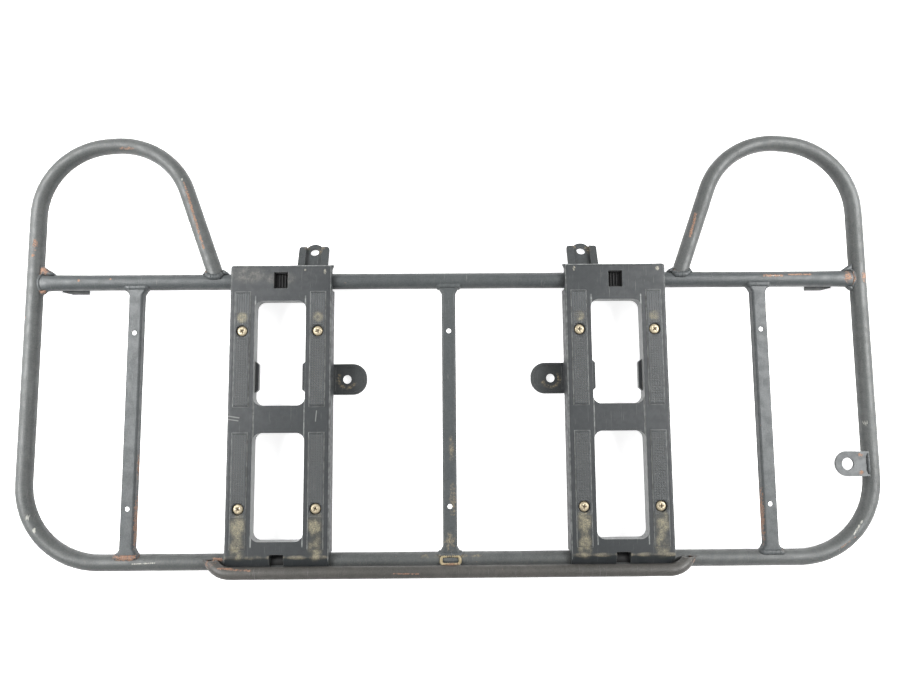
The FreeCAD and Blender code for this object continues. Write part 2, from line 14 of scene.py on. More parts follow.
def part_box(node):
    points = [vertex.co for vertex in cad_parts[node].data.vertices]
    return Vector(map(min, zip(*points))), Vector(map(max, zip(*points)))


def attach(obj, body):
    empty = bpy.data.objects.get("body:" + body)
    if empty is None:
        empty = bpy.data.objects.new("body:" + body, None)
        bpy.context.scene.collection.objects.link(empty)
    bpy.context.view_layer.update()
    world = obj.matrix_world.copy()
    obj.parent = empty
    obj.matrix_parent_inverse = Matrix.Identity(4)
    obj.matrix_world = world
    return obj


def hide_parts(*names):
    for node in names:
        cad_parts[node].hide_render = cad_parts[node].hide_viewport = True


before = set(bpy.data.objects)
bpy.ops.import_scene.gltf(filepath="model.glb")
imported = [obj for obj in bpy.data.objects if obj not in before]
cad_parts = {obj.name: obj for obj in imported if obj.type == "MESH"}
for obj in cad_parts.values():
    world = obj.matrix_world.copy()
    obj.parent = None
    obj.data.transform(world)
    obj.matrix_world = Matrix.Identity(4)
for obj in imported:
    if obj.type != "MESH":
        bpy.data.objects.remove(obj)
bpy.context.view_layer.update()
noise.seed_set(1)                       # noise_vector, the seams' unevenness, draws from this

MM = 0.001

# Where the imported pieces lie
tube_low, tube_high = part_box("outer_frame_tube")
TUBE_R = (tube_high.z - tube_low.z) / 2
PLANE_Z = (tube_high.z + tube_low.z) / 2
RAIL_Y = tube_low.y + TUBE_R
SIDE_X = (tube_high.x - TUBE_R) / MM
cross_low, cross_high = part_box("cross_tube")
CROSS_Y = ((cross_low.y + cross_high.y) / 2 - RAIL_Y) / MM
TUBE_R_MM = TUBE_R / MM
COVER_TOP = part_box("left_cover")[1].z


def at(x, y, z):
    """A point of the scene from millimetres on the rack."""
    return Vector((x * MM, RAIL_Y + y * MM, PLANE_Z + z * MM))


def on_rack(point):
    """Millimetres on the rack from a point of the scene."""
    return Vector((point.x, point.y - RAIL_Y, point.z - PLANE_Z)) / MM


# Camera, as the photograph was taken
CAMERA_PLACE = (-5.1, 172.3, 839.6)
CAMERA_TURN = (6.02, -0.45, -0.36)      # degrees about x, y and z
LENS_MM = 28.0
SENSOR_MM = 36.0

FOOT_SEAM_REACH = 5.0                   # the seam over a hoop's foot stays this far from the crest
WEB_ARCS = (0.35, 0.65, 0.95)           # how far out the arcs of a corner's weld pile lie
WEB_HOLLOW = 0.2

BAR_SEAM_BACK = 1.6                     # how far the seam lies back on the bar's flared end

# Spots and lines of wear
LINE_HEIGHT_WEIGHT = 0.25               # how much height counts in the distance from a line
SPOT_CORE = 0.2                         # share of a spot's reach that is at full strength

# Light
FLOOR_GLOW = 0.78                       # makes the lit floor read as white
SKY_BRIGHT = 0.58
SKY_CEILING = 0.4                       # share left overhead
SKY_REAR = 0.35                         # share left behind the rear rail
LAMP_PLACE = (1.15, 0.2, 0.74)         # metres, mirrored for the other lamp
LAMP_SIZE = (1.1, 1.0)
LAMP_AIM_X = 0.72
LAMP_SPREAD = 76.0                      # degrees
LAMP_WATTS = {-1: 8.6, 1: 8.2}          # left and right

# Weld seams
LEG_TOP_INSET = 156.4                   # ends of a hoop's leg, from the side tube
LEG_FOOT_INSET = 220.8
LEG_RUN = 177.5
FLARE_HALF_H = 6.2                      # half height of the cross tube's flattened end
SEAM_STEP = 0.7                         # millimetres between rings of a seam
SEAM_RIPPLE = 2.4                       # length of one ripple
SEAM_LUMPS = 0.16                       # share of the seam's thickness

ABOVE_ALL = 60.0
STAY_RING_LIFT = 0.7
STAY_RING = ((-9.0, -1.9), (0.0, -2.1), (9.5, -1.9), (11.0, -0.6), (11.4, 1.6), (11.0, 3.8), (9.6, 5.6),
             (0.0, 6.2), (-8.8, 5.6), (-10.2, 3.8), (-10.6, 1.6), (-10.2, -0.6))

# Covers, their raised strips and the sockets in them
COVER_X = 199.2                         # middle of a cover
STRIP_OFFSET = 44.5                     # middle of a strip from the middle of its cover
STRIP_REAR_ALL = (16.4, 149.0)
COVER_HALF_W = 60.0
FRONT_EDGE_Y = 347.2
SOCKET_Y = 328.6
SOCKET_HALF = 9.75
SOCKET_WALL = 1.4
SOCKET_LAP = 1.2                        # how far the front and rear walls reach under the web
SOCKET_SIDE_LAP = 1.5
SOCKET_TOP = 14.45
SOCKET_LOW = 10.2
SOCKET_FRONT_LOW = 6.3                  # the wall that hooks over the cross tube
SOCKET_FLOOR = (9.75, 10.6)
SOCKET_RIBS = 5
RIB_TOP = 12.4
RIB_HALF = 0.5
RIB_SPACING = 0.42                      # of the socket's inner half width
PLATE_EDGE = 0.15
CLIP_CLEARANCE = 0.5                    # between the clip and the rail
CLIP_THICKNESS = 0.7
CLIP_SIDE_GAP = 0.3
CLIP_Y = (-2.5, 9.2)
CLIP_LOW = 4.0
NOTCH_HALF_W = 8.6

# Knurling of the raised strips
KNURL_PITCH = 2.8                       # really 2.4, drawn coarser so that the squares show
KNURL_INSET = 0.66
KNURL_HEIGHT = 0.4
KNURL_TIPS = (0.62, 0.76)               # share of the height where the painted shade of the grooves ends
KNURL_ROWS = 6
KNURL_SKIRT = 0.5                       # how far the knurled slab sinks into the strip
KNURL_LIFT = 0.04                       # keeps the grooves just clear of the strip
GROOVED_END = 26.0                      # the front end has lengthwise grooves only
STRIP_FRONT = (179.0, 315.0)
STRIP_REAR = (52.0, 149.0)              # behind this the strip is worn smooth
STRIP_MARGIN = 2.0
SCREW_CLEARANCE = 8.2                   # radius left bare round a screw

# Screws
SCREW_HEAD_R = 6.0
SCREW_HEAD_H = 3.0
SCREW_RIM_H = 0.7
SCREW_SHANK_R = 2.5
SCREW_SEGMENTS = 48
CROSS_ARM = 2.7                         # half length of the cross recess at the top
CROSS_LEVELS = ((3.0, 2.7, 0.6), (2.65, 2.4, 0.5), (1.0, 0.9, 0.4))     # height, arm, half width
SCREW_EDGE = 0.25
SCREW_DOME_TURN = 0.43 * math.pi
THREAD_PITCH = 0.8
THREAD_DEPTH = 0.35


MODE_SETTINGS = {"Math": "operation", "VectorMath": "operation", "Mix": "data_type",
                 "MapRange": "interpolation_type"}


def linear(hex_code):
    """Linear red, green, blue and alpha of an sRGB hex colour."""
    values = []
    for start in (1, 3, 5):
        share = int(hex_code[start:start + 2], 16) / 255
        if share <= 0.04045:
            values.append(share / 12.92)
        else:
            values.append(((share + 0.055) / 1.055) ** 2.4)
    return (*values, 1.0)


def node(tree, kind, *values, result=0, **named):
    """Adds a shader node and gives one of its results.

    kind may hold the node's mode after a stop. Values go to the open sockets in their order, a
    capitalised name is a socket and another name a setting. A hex colour is made linear."""
    kind, _, mode = kind.partition(".")
    made = tree.nodes.new("ShaderNode" + kind)
    if mode:
        setattr(made, MODE_SETTINGS[kind], mode)
    open_sockets = [socket for socket in made.inputs if socket.enabled]
    filled = list(zip(open_sockets, values))
    for name, value in named.items():
        if name[0].isupper():
            filled.append((made.inputs[name], value))
        else:
            setattr(made, name, value)
    for socket, value in filled:
        if isinstance(value, bpy.types.NodeSocket):
            tree.links.new(value, socket)
        else:
            socket.default_value = linear(value) if isinstance(value, str) else value
    results = [socket for socket in made.outputs if socket.enabled] or [None]
    return made.outputs[result] if isinstance(result, str) else results[result]


def per_metre(size_mm):
    """Scale of a pattern on metres whose features are this many millimetres apart."""
    return 1.0 / (size_mm * MM)


def new_surface(name):
    """An empty material with its tree, its shader and the place on the object."""
    material = bpy.data.materials.new(name)
    material.use_nodes = True
    tree = material.node_tree
    shader = tree.nodes["Principled BSDF"]
    place = node(tree, "TexCoord", result="Object")
    return material, tree, shader, place


def cloud(tree, place, size_mm, detail=3.0, low=0.35, high=0.65, roughness=0.55):
    """Soft noise with features of a real size, spread to run from 0 to 1."""
    noisy = node(tree, "TexNoise", place, per_metre(size_mm), detail, roughness)
    return node(tree, "MapRange.SMOOTHSTEP", noisy, low, high)


def hairlines(tree, place, along, across, turn, low, high):
    """Fine scratches: noise drawn out along one direction. Sizes are in millimetres."""
    turned = node(
        tree, "Mapping", place, Rotation=(0.0, 0.0, turn),
        Scale=(per_metre(across), per_metre(along), per_metre(along)))
    noisy = node(tree, "TexNoise", turned, 1.0, 2.0, 0.6)
    return node(tree, "MapRange.SMOOTHSTEP", noisy, low, high)


def fall_off(tree, distance, full, none):
    """1 up to the distance full, and 0 from the distance none on."""
    return node(tree, "MapRange.SMOOTHSTEP", distance, full, none, 1.0, 0.0)


def laid(tree, colour, shade, mask, strength):
    """A colour with a shade over it where a mask is, at a strength from 0 to 1."""
    return node(tree, "Mix.RGBA", node(tree, "Math.MULTIPLY", mask, strength), colour, shade)


def near_line(tree, place, start, end, half_width):
    """1 on a straight line and 0 at half_width beside it, in millimetres; height counts less."""
    squeeze = Vector((1.0, 1.0, LINE_HEIGHT_WEIGHT))
    first, last = at(*start) * squeeze, at(*end) * squeeze
    run = last - first
    flat = node(tree, "VectorMath.MULTIPLY", place, squeeze)
    offset = node(tree, "VectorMath.SUBTRACT", flat, first)
    along = node(tree, "VectorMath.DOT_PRODUCT", offset, run / run.length_squared)
    foot = node(tree, "VectorMath.SCALE", run, node(tree, "Clamp", along))
    gap = node(tree, "VectorMath.DISTANCE", offset, foot)
    return fall_off(tree, gap, SPOT_CORE * half_width * MM, half_width * MM)


def near(tree, place, spots):
    """1 in the middle of each spot and 0 outside it, in millimetres.

    A spot is a centre and a reach, or the start, end and half width of a line."""
    strongest = 0.0
    for spot in spots:
        if len(spot) == 3:
            fall = near_line(tree, place, *spot)
        else:
            centre, reach = spot
            offset = node(tree, "VectorMath.SUBTRACT", place, at(*centre))
            share = node(tree, "VectorMath.DIVIDE", offset, Vector(reach) * MM)
            fall = fall_off(tree, node(tree, "VectorMath.LENGTH", share), SPOT_CORE, 1.0)
        strongest = node(tree, "Math.MAXIMUM", strongest, fall)
    return strongest


def streak(start, end, count, reach):
    """Spots in a row from one place to another."""
    first, last = Vector(start), Vector(end)
    return [(tuple(first.lerp(last, i / (count - 1))), reach) for i in range(count)]


def broken(tree, mask, pattern, low, high):
    """A mask whose border is eaten into by a pattern."""
    total = node(
        tree, "Math.ADD", node(tree, "Math.MULTIPLY", mask, 0.55),
        node(tree, "Math.MULTIPLY", pattern, 0.75))
    return node(
        tree, "Math.MULTIPLY", node(tree, "MapRange.SMOOTHSTEP", total, low, high),
        node(tree, "MapRange.SMOOTHSTEP", mask, 0.0, 0.2))


def edge_share(tree, rounded):
    """1 on sharp edges and 0 on flats, from how far a rounded normal leaves the real one."""
    likeness = node(tree, "VectorMath.DOT_PRODUCT", rounded, node(tree, "NewGeometry", result="Normal"))
    return fall_off(tree, likeness, 0.86, 0.995)


def finish_surface(tree, shader, colour, roughness, normal):
    """Feeds a pattern into each of the shader's sockets that every finish uses."""
    tree.links.new(colour, shader.inputs["Base Color"])
    tree.links.new(roughness, shader.inputs["Roughness"])
    tree.links.new(normal, shader.inputs["Normal"])


def weathered_enamel(name, shade, rust=(), bare=(), tan=()):
    """Black stove enamel on steel tube: chalked to a dull grey, with an orange-peel skin,
    hairline scratches, rust where the film broke and tan dust that washed into corners.

    The orange peel is really about 0.6 mm wide and the scratches 0.1 mm. Both are drawn coarser, so
    that they show."""
    material, tree, shader, place = new_surface(name)
    rounded = node(tree, "Bevel", 0.5 * MM, samples=4)
    edges = edge_share(tree, rounded)
    chalk = cloud(tree, place, 70.0, 4.0)
    mottle = cloud(tree, place, 9.0, 5.0)
    speckle = cloud(tree, place, 1.6, 3.0, 0.3, 0.7)
    colour = node(tree, "Mix.RGBA", chalk, shade[0], shade[1])
    colour = laid(tree, colour, shade[2], mottle, 0.45)
    colour = laid(tree, colour, shade[3], speckle, 0.3)
    scratches = node(
        tree, "Math.MAXIMUM", hairlines(tree, place, 30.0, 0.7, 0.35, 0.66, 0.76),
        hairlines(tree, place, 22.0, 0.6, 1.9, 0.68, 0.77))
    scratches = node(tree, "Math.MULTIPLY", scratches, mottle)
    colour = laid(tree, colour, "#a3a4a1", scratches, 0.5)
    worn_edge = node(tree, "Math.MULTIPLY", edges, cloud(tree, place, 6.0, 4.0, 0.3, 0.6))
    colour = laid(tree, colour, "#9b9d9c", worn_edge, 0.45)
    roughness = node(tree, "MapRange.SMOOTHSTEP", mottle, 0.0, 1.0, 0.42, 0.54)
    bumps = node(tree, "Math.ADD", node(tree, "Math.MULTIPLY", speckle, 0.6), scratches)
    grit = cloud(tree, place, 1.1, 4.0, 0.3, 0.7)
    blotches = cloud(tree, place, 3.4, 6.0, 0.36, 0.64, 0.75)
    if tan:
        thin = node(
            tree, "MapRange.SMOOTHSTEP", cloud(tree, place, 1.8, 4.0, 0.35, 0.7), 0.0, 1.0, 0.25, 0.9)
        dust = node(
            tree, "Math.MULTIPLY", broken(tree, near(tree, place, tan), blotches, 0.45, 1.3), thin)
        colour = node(
            tree, "Mix.RGBA", dust, colour, node(tree, "Mix.RGBA", grit, "#7d725d", "#aa9c80"))
        roughness = node(tree, "Math.MAXIMUM", roughness, node(tree, "Math.MULTIPLY", dust, 0.85))
    # Painted shade: the enamel goes near black in corners and crevices and round the seams, from
    # ambient occlusion, where shade falls
    corners = node(tree, "AmbientOcclusion", samples=6, Distance=3.5 * MM, result="AO")
    painted_crevice_shade = fall_off(tree, corners, 0.3, 0.75)
    colour = laid(tree, colour, "#1d1c1b", painted_crevice_shade, 0.65)
    if bare:
        scuffed = broken(tree, near(tree, place, bare), hairlines(tree, place, 7.0, 0.8, 0.2, 0.3, 0.7),
                         0.6, 0.9)
        colour = laid(tree, colour, "#b9b9b0", scuffed, 0.8)
    few_specks = node(
        tree, "Math.MULTIPLY", cloud(tree, place, 3.2, 2.0, 0.74, 0.8),
        cloud(tree, place, 45.0, 2.0, 0.5, 0.6))
    rusty = node(tree, "Math.MULTIPLY", few_specks, 0.7)
    if rust:
        rusty = node(
            tree, "Math.MAXIMUM", rusty, broken(tree, near(tree, place, rust), blotches, 0.55, 0.95))
    rust_colour = node(tree, "Mix.RGBA", grit, "#865f49", "#c29f88")
    rust_colour = laid(tree, rust_colour, "#6a4c40", blotches, 0.4)
    colour = laid(tree, colour, rust_colour, rusty, 0.9)
    roughness = node(tree, "Math.MAXIMUM", roughness, node(tree, "Math.MULTIPLY", rusty, 0.9))
    skin = node(tree, "Bump", 0.5, 0.05 * MM, Height=bumps, Normal=rounded)
    flakes = node(tree, "Math.MULTIPLY", rusty, grit)
    scale = node(tree, "Bump", 0.8, 0.25 * MM, Height=flakes, Normal=skin)
    finish_surface(tree, shader, colour, roughness, scale)
    return material


def band(tree, value, low, high, soft):
    """1 where value lies between low and high, fading over soft. Lengths are in millimetres."""
    start = node(tree, "MapRange.SMOOTHSTEP", value, (low - soft) * MM, low * MM)
    end = node(tree, "MapRange.SMOOTHSTEP", value, high * MM, (high + soft) * MM, 1.0, 0.0)
    return node(tree, "Math.MULTIPLY", start, end)


def painted_edge_highlights(tree, across, along, height):
    """Painted highlights along the edges of the raised strips, of the beams beside the windows and of
    the covers' rims, where light catches the edges.
    """
    from_middle = node(tree, "Math.ABSOLUTE", node(tree, "Math.SUBTRACT", across, COVER_X * MM), 0.0)
    from_strip = node(
        tree, "Math.ABSOLUTE", node(tree, "Math.SUBTRACT", from_middle, STRIP_OFFSET * MM), 0.0)
    y_mm = node(tree, "Math.SUBTRACT", along, RAIL_Y)
    lengthwise = node(
        tree, "Math.MAXIMUM", band(tree, y_mm, STRIP_REAR_ALL[0], STRIP_REAR_ALL[1], 0.3),
        band(tree, y_mm, STRIP_FRONT[0], STRIP_FRONT[1], 0.3))
    strip_edges = node(tree, "Math.MULTIPLY", band(tree, from_strip, 8.7, 9.4, 0.2), lengthwise)
    ends = 0.0
    for y in (*STRIP_REAR_ALL, *STRIP_FRONT):
        ends = node(tree, "Math.MAXIMUM", band(tree, y_mm, y - 0.5, y + 0.5, 0.25), ends)
    strip_ends = node(tree, "Math.MULTIPLY", ends, band(tree, from_strip, -1.0, 9.3, 0.25))
    beams = node(
        tree, "Math.MULTIPLY", band(tree, from_middle, 29.0, 30.1, 0.25),
        band(tree, y_mm, 20.0, 309.0, 2.0))
    rims = node(
        tree, "Math.MAXIMUM", band(tree, y_mm, FRONT_EDGE_Y - 1.4, FRONT_EDGE_Y + 1.0, 0.3),
        band(tree, from_middle, COVER_HALF_W - 1.0, COVER_HALF_W + 1.0, 0.4))
    all_lines = node(tree, "Math.MAXIMUM", node(tree, "Math.MULTIPLY", strip_edges, 0.7), beams)
    all_lines = node(tree, "Math.MAXIMUM", all_lines, node(tree, "Math.MULTIPLY", rims, 0.9))
    all_lines = node(tree, "Math.MAXIMUM", all_lines, node(tree, "Math.MULTIPLY", strip_ends, 0.35))
    return node(
        tree, "Math.MULTIPLY", all_lines,
        node(tree, "MapRange.SMOOTHSTEP", height, at(0, 0, 15.6).z, at(0, 0, 16.4).z))


def painted_window_wall_reflection(tree, across, along):
    """The upright walls of the windows, made pale grey: a painted reflection of the bright floor."""
    upright = node(tree, "SeparateXYZ", node(tree, "NewGeometry", result="Normal"), result="Z")
    level = node(
        tree, "MapRange.SMOOTHSTEP", node(tree, "Math.ABSOLUTE", upright, 0.0), 0.3, 0.6, 1.0, 0.0)
    from_middle = node(tree, "Math.ABSOLUTE", node(tree, "Math.SUBTRACT", across, COVER_X * MM), 0.0)
    y_mm = node(tree, "Math.SUBTRACT", along, RAIL_Y)
    inside = node(
        tree, "Math.MULTIPLY", band(tree, from_middle, -1.0, 31.2, 0.3),
        band(tree, y_mm, 24.0, 305.0, 0.5))
    return node(tree, "Math.MULTIPLY", level, inside)


def moulded_cover_plastic(name, knurled=False):
    """Black polypropylene with moulded grain: faded grey, dusty, scuffed on its front web and
    polished tan on the rear ends of the strips, with painted highlights along its edges and window
    walls made pale by a painted reflection.

    The moulded grain is really about 0.3 mm wide and drawn coarser, so that it shows."""
    material, tree, shader, place = new_surface(name)
    rounded = node(tree, "Bevel", 0.6 * MM, samples=6)
    edges = edge_share(tree, rounded)
    fade = cloud(tree, place, 60.0, 4.0)
    mottle = cloud(tree, place, 7.0, 5.0)
    grain = cloud(tree, place, 0.9, 2.0, 0.3, 0.7)
    colour = node(tree, "Mix.RGBA", fade, "#262a2c", "#303335")
    colour = laid(tree, colour, "#1f2325", mottle, 0.4)
    from_left, along, height = (node(tree, "SeparateXYZ", place, result=axis) for axis in "XYZ")
    across = node(tree, "Math.ABSOLUTE", from_left)
    if knurled:
        # Painted shade and highlight: near black in the grooves between the squares and lighter on
        # their tops
        groove_shade_and_tip_highlight = node(
            tree, "MapRange.SMOOTHSTEP", height,
            *(COVER_TOP + KNURL_HEIGHT * share * MM for share in KNURL_TIPS))
        colour = node(tree, "Mix.RGBA", groove_shade_and_tip_highlight, "#0b0d0e", node(tree, "Mix.RGBA", 0.6, colour, "#4c5052"))
    lines = painted_edge_highlights(tree, across, along, height)
    # Painted highlights: pale lines along the edges of the strips, of the beams and of the rims
    colour = node(
        tree, "Mix.RGBA",
        node(
            tree, "Math.MULTIPLY", lines,
            node(tree, "MapRange.SMOOTHSTEP", mottle, 0.0, 1.0, 0.85, 0.35)),
        colour, "#969997")
    # Painted reflection: the windows' upright walls are laid over with pale grey
    walls = painted_window_wall_reflection(tree, across, along)
    colour = laid(tree, colour, "#a9abab", walls, 0.7)
    scratches = node(
        tree, "Math.MAXIMUM", hairlines(tree, place, 18.0, 0.5, 0.9, 0.68, 0.78),
        hairlines(tree, place, 35.0, 0.7, 2.6, 0.67, 0.76))
    colour = laid(tree, colour, "#8f908c", scratches, 0.35)
    # Painted highlight: every sharp edge of the cover is laid over with lighter grey
    colour = laid(tree, colour, "#8d8f8d", edges, 0.5)
    grit = cloud(tree, place, 1.3, 4.0, 0.3, 0.7)
    dust_spots = []
    scuff_spots = [
        ((-238.0, 336.0, 17.5), (30.0, 15.0, 6.0)), ((-200.0, 331.0, 17.5), (26.0, 11.0, 6.0))]
    crease_spots = []
    for side in (-1, 1):
        for strip_x in (154.7, 243.7):
            dust_spots.append(((side * strip_x, 284.0, 18.7), (9.0, 9.0, 4.0)))
            dust_spots += streak((side * strip_x, 44.0, 18.7), (side * strip_x, 20.0, 17.0), 2,
                                 (12.0, 22.0, 6.0))
        crease_spots += streak(
            (side * 150.0, 7.5, 17.0), (side * 250.0, 7.5, 17.0), 5, (17.0, 3.4, 4.0))
    scuffs = node(
        tree, "Math.MULTIPLY",
        node(tree, "MapRange.SMOOTHSTEP", near(tree, place, scuff_spots), 0.0, 0.9),
        node(
            tree, "MapRange.SMOOTHSTEP", cloud(tree, place, 4.5, 7.0, 0.34, 0.72, 0.72), 0.0, 1.0, 0.12,
            1.0))
    colour = laid(tree, colour, "#86837a", scuffs, 0.34)
    thin = node(
        tree, "Math.MULTIPLY",
        node(tree, "MapRange.SMOOTHSTEP", cloud(tree, place, 0.9, 4.0, 0.3, 0.7), 0.0, 1.0, 0.35, 1.0),
        node(
            tree, "MapRange.SMOOTHSTEP", cloud(tree, place, 12.0, 5.0, 0.3, 0.68), 0.0, 1.0, 0.12, 1.0))
    dust = node(
        tree, "Math.MULTIPLY",
        node(tree, "MapRange.SMOOTHSTEP", near(tree, place, dust_spots), 0.0, 0.85), thin)
    dust_colour = node(tree, "Mix.RGBA", grit, "#85806d", "#b3aa8d")
    colour = laid(tree, colour, dust_colour, dust, 0.85)
    crease = node(
        tree, "Math.MULTIPLY",
        node(tree, "MapRange.SMOOTHSTEP", near(tree, place, crease_spots), 0.0, 0.8), thin)
    colour = laid(tree, colour, "#9a927d", crease, 0.7)
    flecks = near(
        tree, place,
        [
            ((150.2, 341.5, 17.5), (2.2, 4.4, 4.0)), ((250.0, 341.0, 17.5), (3.4, 3.6, 4.0)),
            ((-170.5, 341.0, 17.5), (1.8, 1.8, 4.0)), ((-147.0, 339.0, 17.5), (2.2, 4.4, 4.0))])
    flecks = node(tree, "Math.MULTIPLY", node(tree, "MapRange.SMOOTHSTEP", flecks, 0.1, 0.6), grit)
    colour = laid(tree, colour, "#b9b4a4", flecks, 0.8)
    hairs = near(tree, place, [((-264.0, 169.5, 17.5), (-245.0, 166.5, 17.5), 0.9),
                               ((-262.0, 165.5, 17.5), (-246.0, 163.0, 17.5), 0.8),
                               ((-156.0, 162.0, 17.5), (-155.0, 174.0, 17.5), 0.8)])
    colour = laid(tree, colour, "#9a9c98", hairs, 0.6)
    corners = node(tree, "AmbientOcclusion", samples=6, Distance=4.0 * MM, result="AO")
    film = node(
        tree, "Math.MULTIPLY", fall_off(tree, corners, 0.35, 0.8), mottle)
    colour = laid(tree, colour, "#7d776a", film, 0.25)
    roughness = node(tree, "MapRange.SMOOTHSTEP", mottle, 0.0, 1.0, 0.42, 0.55)
    roughness = node(tree, "Math.MAXIMUM", roughness, node(tree, "Math.MULTIPLY", dust, 0.7))
    relief = node(tree, "Math.SUBTRACT", grain, scratches)
    skin = node(tree, "Bump", 0.5, 0.06 * MM, Height=relief, Normal=rounded)
    finish_surface(tree, shader, colour, roughness, skin)
    return material


def near_black_shade_plastic(name):
    """A near-black copy of the cover's polypropylene, painted shade for the sockets and the notch
    clips, with a little grit.
    """
    material, tree, shader, place = new_surface(name)
    grit = cloud(tree, place, 1.3, 4.0, 0.45, 0.75)
    mottle = cloud(tree, place, 5.0, 3.0)
    colour = node(tree, "Mix.RGBA", mottle, "#0d0e0f", "#151617")
    colour = laid(tree, colour, "#3a3732", grit, 0.3)
    roughness = node(tree, "MapRange.SMOOTHSTEP", mottle, 0.0, 1.0, 0.5, 0.62)
    shader.inputs["Specular IOR Level"].default_value = 0.3
    skin = node(tree, "Bump", 0.5, 0.05 * MM, Height=grit)
    finish_surface(tree, shader, colour, roughness, skin)
    return material


def yellow_zinc(name):
    """Steel screws plated with zinc and passivated yellow: pale gold with a dull sheen, with painted
    shade and brown grime in the cross recess. The plating is dulled by dirt, so it is only half
    metallic."""
    material, tree, shader, place = new_surface(name)
    patches = cloud(tree, place, 2.2, 4.0)
    fine = cloud(tree, place, 0.5, 3.0)
    colour = node(tree, "Mix.RGBA", patches, "#b3a68b", "#978c76")
    colour = laid(tree, colour, "#cfc4aa", fine, 0.3)
    # Painted shade with brown grime: darker in the cross recess, from ambient occlusion
    corners = node(tree, "AmbientOcclusion", samples=8, Distance=1.6 * MM, result="AO")
    recess_shade_and_grime = fall_off(tree, corners, 0.45, 0.85)
    colour = laid(tree, colour, "#4d3728", recess_shade_and_grime, 0.85)
    shader.inputs["Metallic"].default_value = 0.55
    roughness = node(tree, "MapRange.SMOOTHSTEP", patches, 0.0, 1.0, 0.36, 0.5)
    rounded = node(tree, "Bevel", 0.2 * MM, samples=4)
    skin = node(tree, "Bump", 0.4, 0.03 * MM, Height=fine, Normal=rounded)
    finish_surface(tree, shader, colour, roughness, skin)
    return material


def give(piece, material):
    """Makes a finish the only one of a piece."""
    piece.data.materials.clear()
    piece.data.materials.append(material)


def finished_piece(name, mesh_source, material, smooth=True):
    """Makes an object from a bmesh. It stays at the origin and rides with the rack."""
    mesh = bpy.data.meshes.new(name)
    mesh_source.to_mesh(mesh)
    mesh_source.free()
    mesh.polygons.foreach_set("use_smooth", [smooth] * len(mesh.polygons))
    piece = bpy.data.objects.new(name, mesh)
    bpy.context.scene.collection.objects.link(piece)
    give(piece, material)
    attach(piece, "root")
    return piece


def even_steps(points, step, closed):
    """The same line with points at an even distance."""
    line = points + [points[0]] if closed else points
    lengths = [(b - a).length for a, b in zip(line, line[1:])]
    total = sum(lengths)
    count = max(4, round(total / step))
    placed = []
    run = 0.0
    index = 0
    stops = count if closed else count + 1
    for i in range(stops):
        wanted = min(total * i / count, total - 1e-9)
        while run + lengths[index] < wanted:
            run += lengths[index]
            index += 1
        placed.append(line[index].lerp(line[index + 1], (wanted - run) / lengths[index]))
    return placed, total


def weld_seam(joined, points, thickness, closed=True, flat=1.0):
    """Adds one rippled bead along a line to a bmesh. Lengths are in millimetres on the rack.

    thickness is the bead's half width, a number or a function of the place on the line."""
    line, total = even_steps(points, SEAM_STEP, closed)
    seam = bmesh.new()
    rings = []
    count = len(line)
    for i, here in enumerate(line):
        if closed:
            ahead, behind = line[(i + 1) % count], line[i - 1]
        else:
            ahead, behind = line[min(i + 1, count - 1)], line[max(i - 1, 0)]
        tangent = (ahead - behind).normalized()
        half = thickness(here) if callable(thickness) else thickness
        ripple = 1 - SEAM_LUMPS / 2 + SEAM_LUMPS * abs(math.sin(math.pi * i * SEAM_STEP / SEAM_RIPPLE))
        lump = 1 + SEAM_LUMPS * noise.noise(here * 0.45)
        half *= ripple * lump
        if not closed:
            from_end = min(i, count - 1 - i) * SEAM_STEP
            half *= min(1.0, math.sqrt((from_end + 0.15) / (2.2 * half)))
        turn = tangent.to_track_quat("Z", "Y").to_matrix().to_4x4()
        matrix = Matrix.Translation(at(*here)) @ turn
        ring = bmesh.ops.create_circle(
            seam, cap_ends=False, radius=half * MM, segments=10, matrix=matrix)
        middle_z = at(*here).z
        for vertex in ring["verts"]:
            vertex.co.z = middle_z + (vertex.co.z - middle_z) * flat
        rings.append(list(dict.fromkeys(e for v in ring["verts"] for e in v.link_edges)))
    pairs = list(zip(rings, rings[1:]))
    if closed:
        pairs.append((rings[-1], rings[0]))
    for first, second in pairs:
        bmesh.ops.bridge_loops(seam, edges=first + second)
    if not closed:
        bmesh.ops.holes_fill(seam, edges=[e for e in seam.edges if e.is_boundary], sides=12)
    for vertex in seam.verts:
        place = on_rack(vertex.co)
        vertex.co += noise.noise_vector(place * 0.9) * 0.22 * MM
    bmesh.ops.recalc_face_normals(seam, faces=seam.faces)
    join(joined, seam)


def flare_seam(side):
    """Round a flattened end of the cross tube, on the side tube's wall."""
    half_w = (cross_high.y - cross_low.y) / 2 / MM
    points = []
    for i in range(48):
        angle = 2 * math.pi * i / 48
        y = half_w * math.cos(angle)
        z = FLARE_HALF_H * math.sin(angle)
        x = SIDE_X - math.sqrt(TUBE_R_MM ** 2 - z * z)
        points.append(Vector((side * x, CROSS_Y + y, z)))
    return points


def foot_seam(side, foot_x, lean):
    """Round the foot of a hoop's leg, where its tube meets the cross tube's wall."""
    along = Vector((side * math.sin(lean), math.cos(lean), 0))
    across = Vector((side * math.cos(lean), -math.sin(lean), 0))
    points = []
    for i in range(56):
        angle = 2 * math.pi * i / 56
        z = TUBE_R_MM * math.sin(angle)
        start = Vector((side * foot_x, CROSS_Y, z)) + across * (TUBE_R_MM * math.cos(angle))
        reach = max(math.sqrt(max(TUBE_R_MM ** 2 - z * z, 0.0)), FOOT_SEAM_REACH)
        run = (CROSS_Y + reach - start.y) / along.y
        place = start + along * run
        depth = math.sqrt(TUBE_R_MM ** 2 - reach * reach)
        place.z = max(-depth, min(depth, place.z))
        points.append(place)
    return points


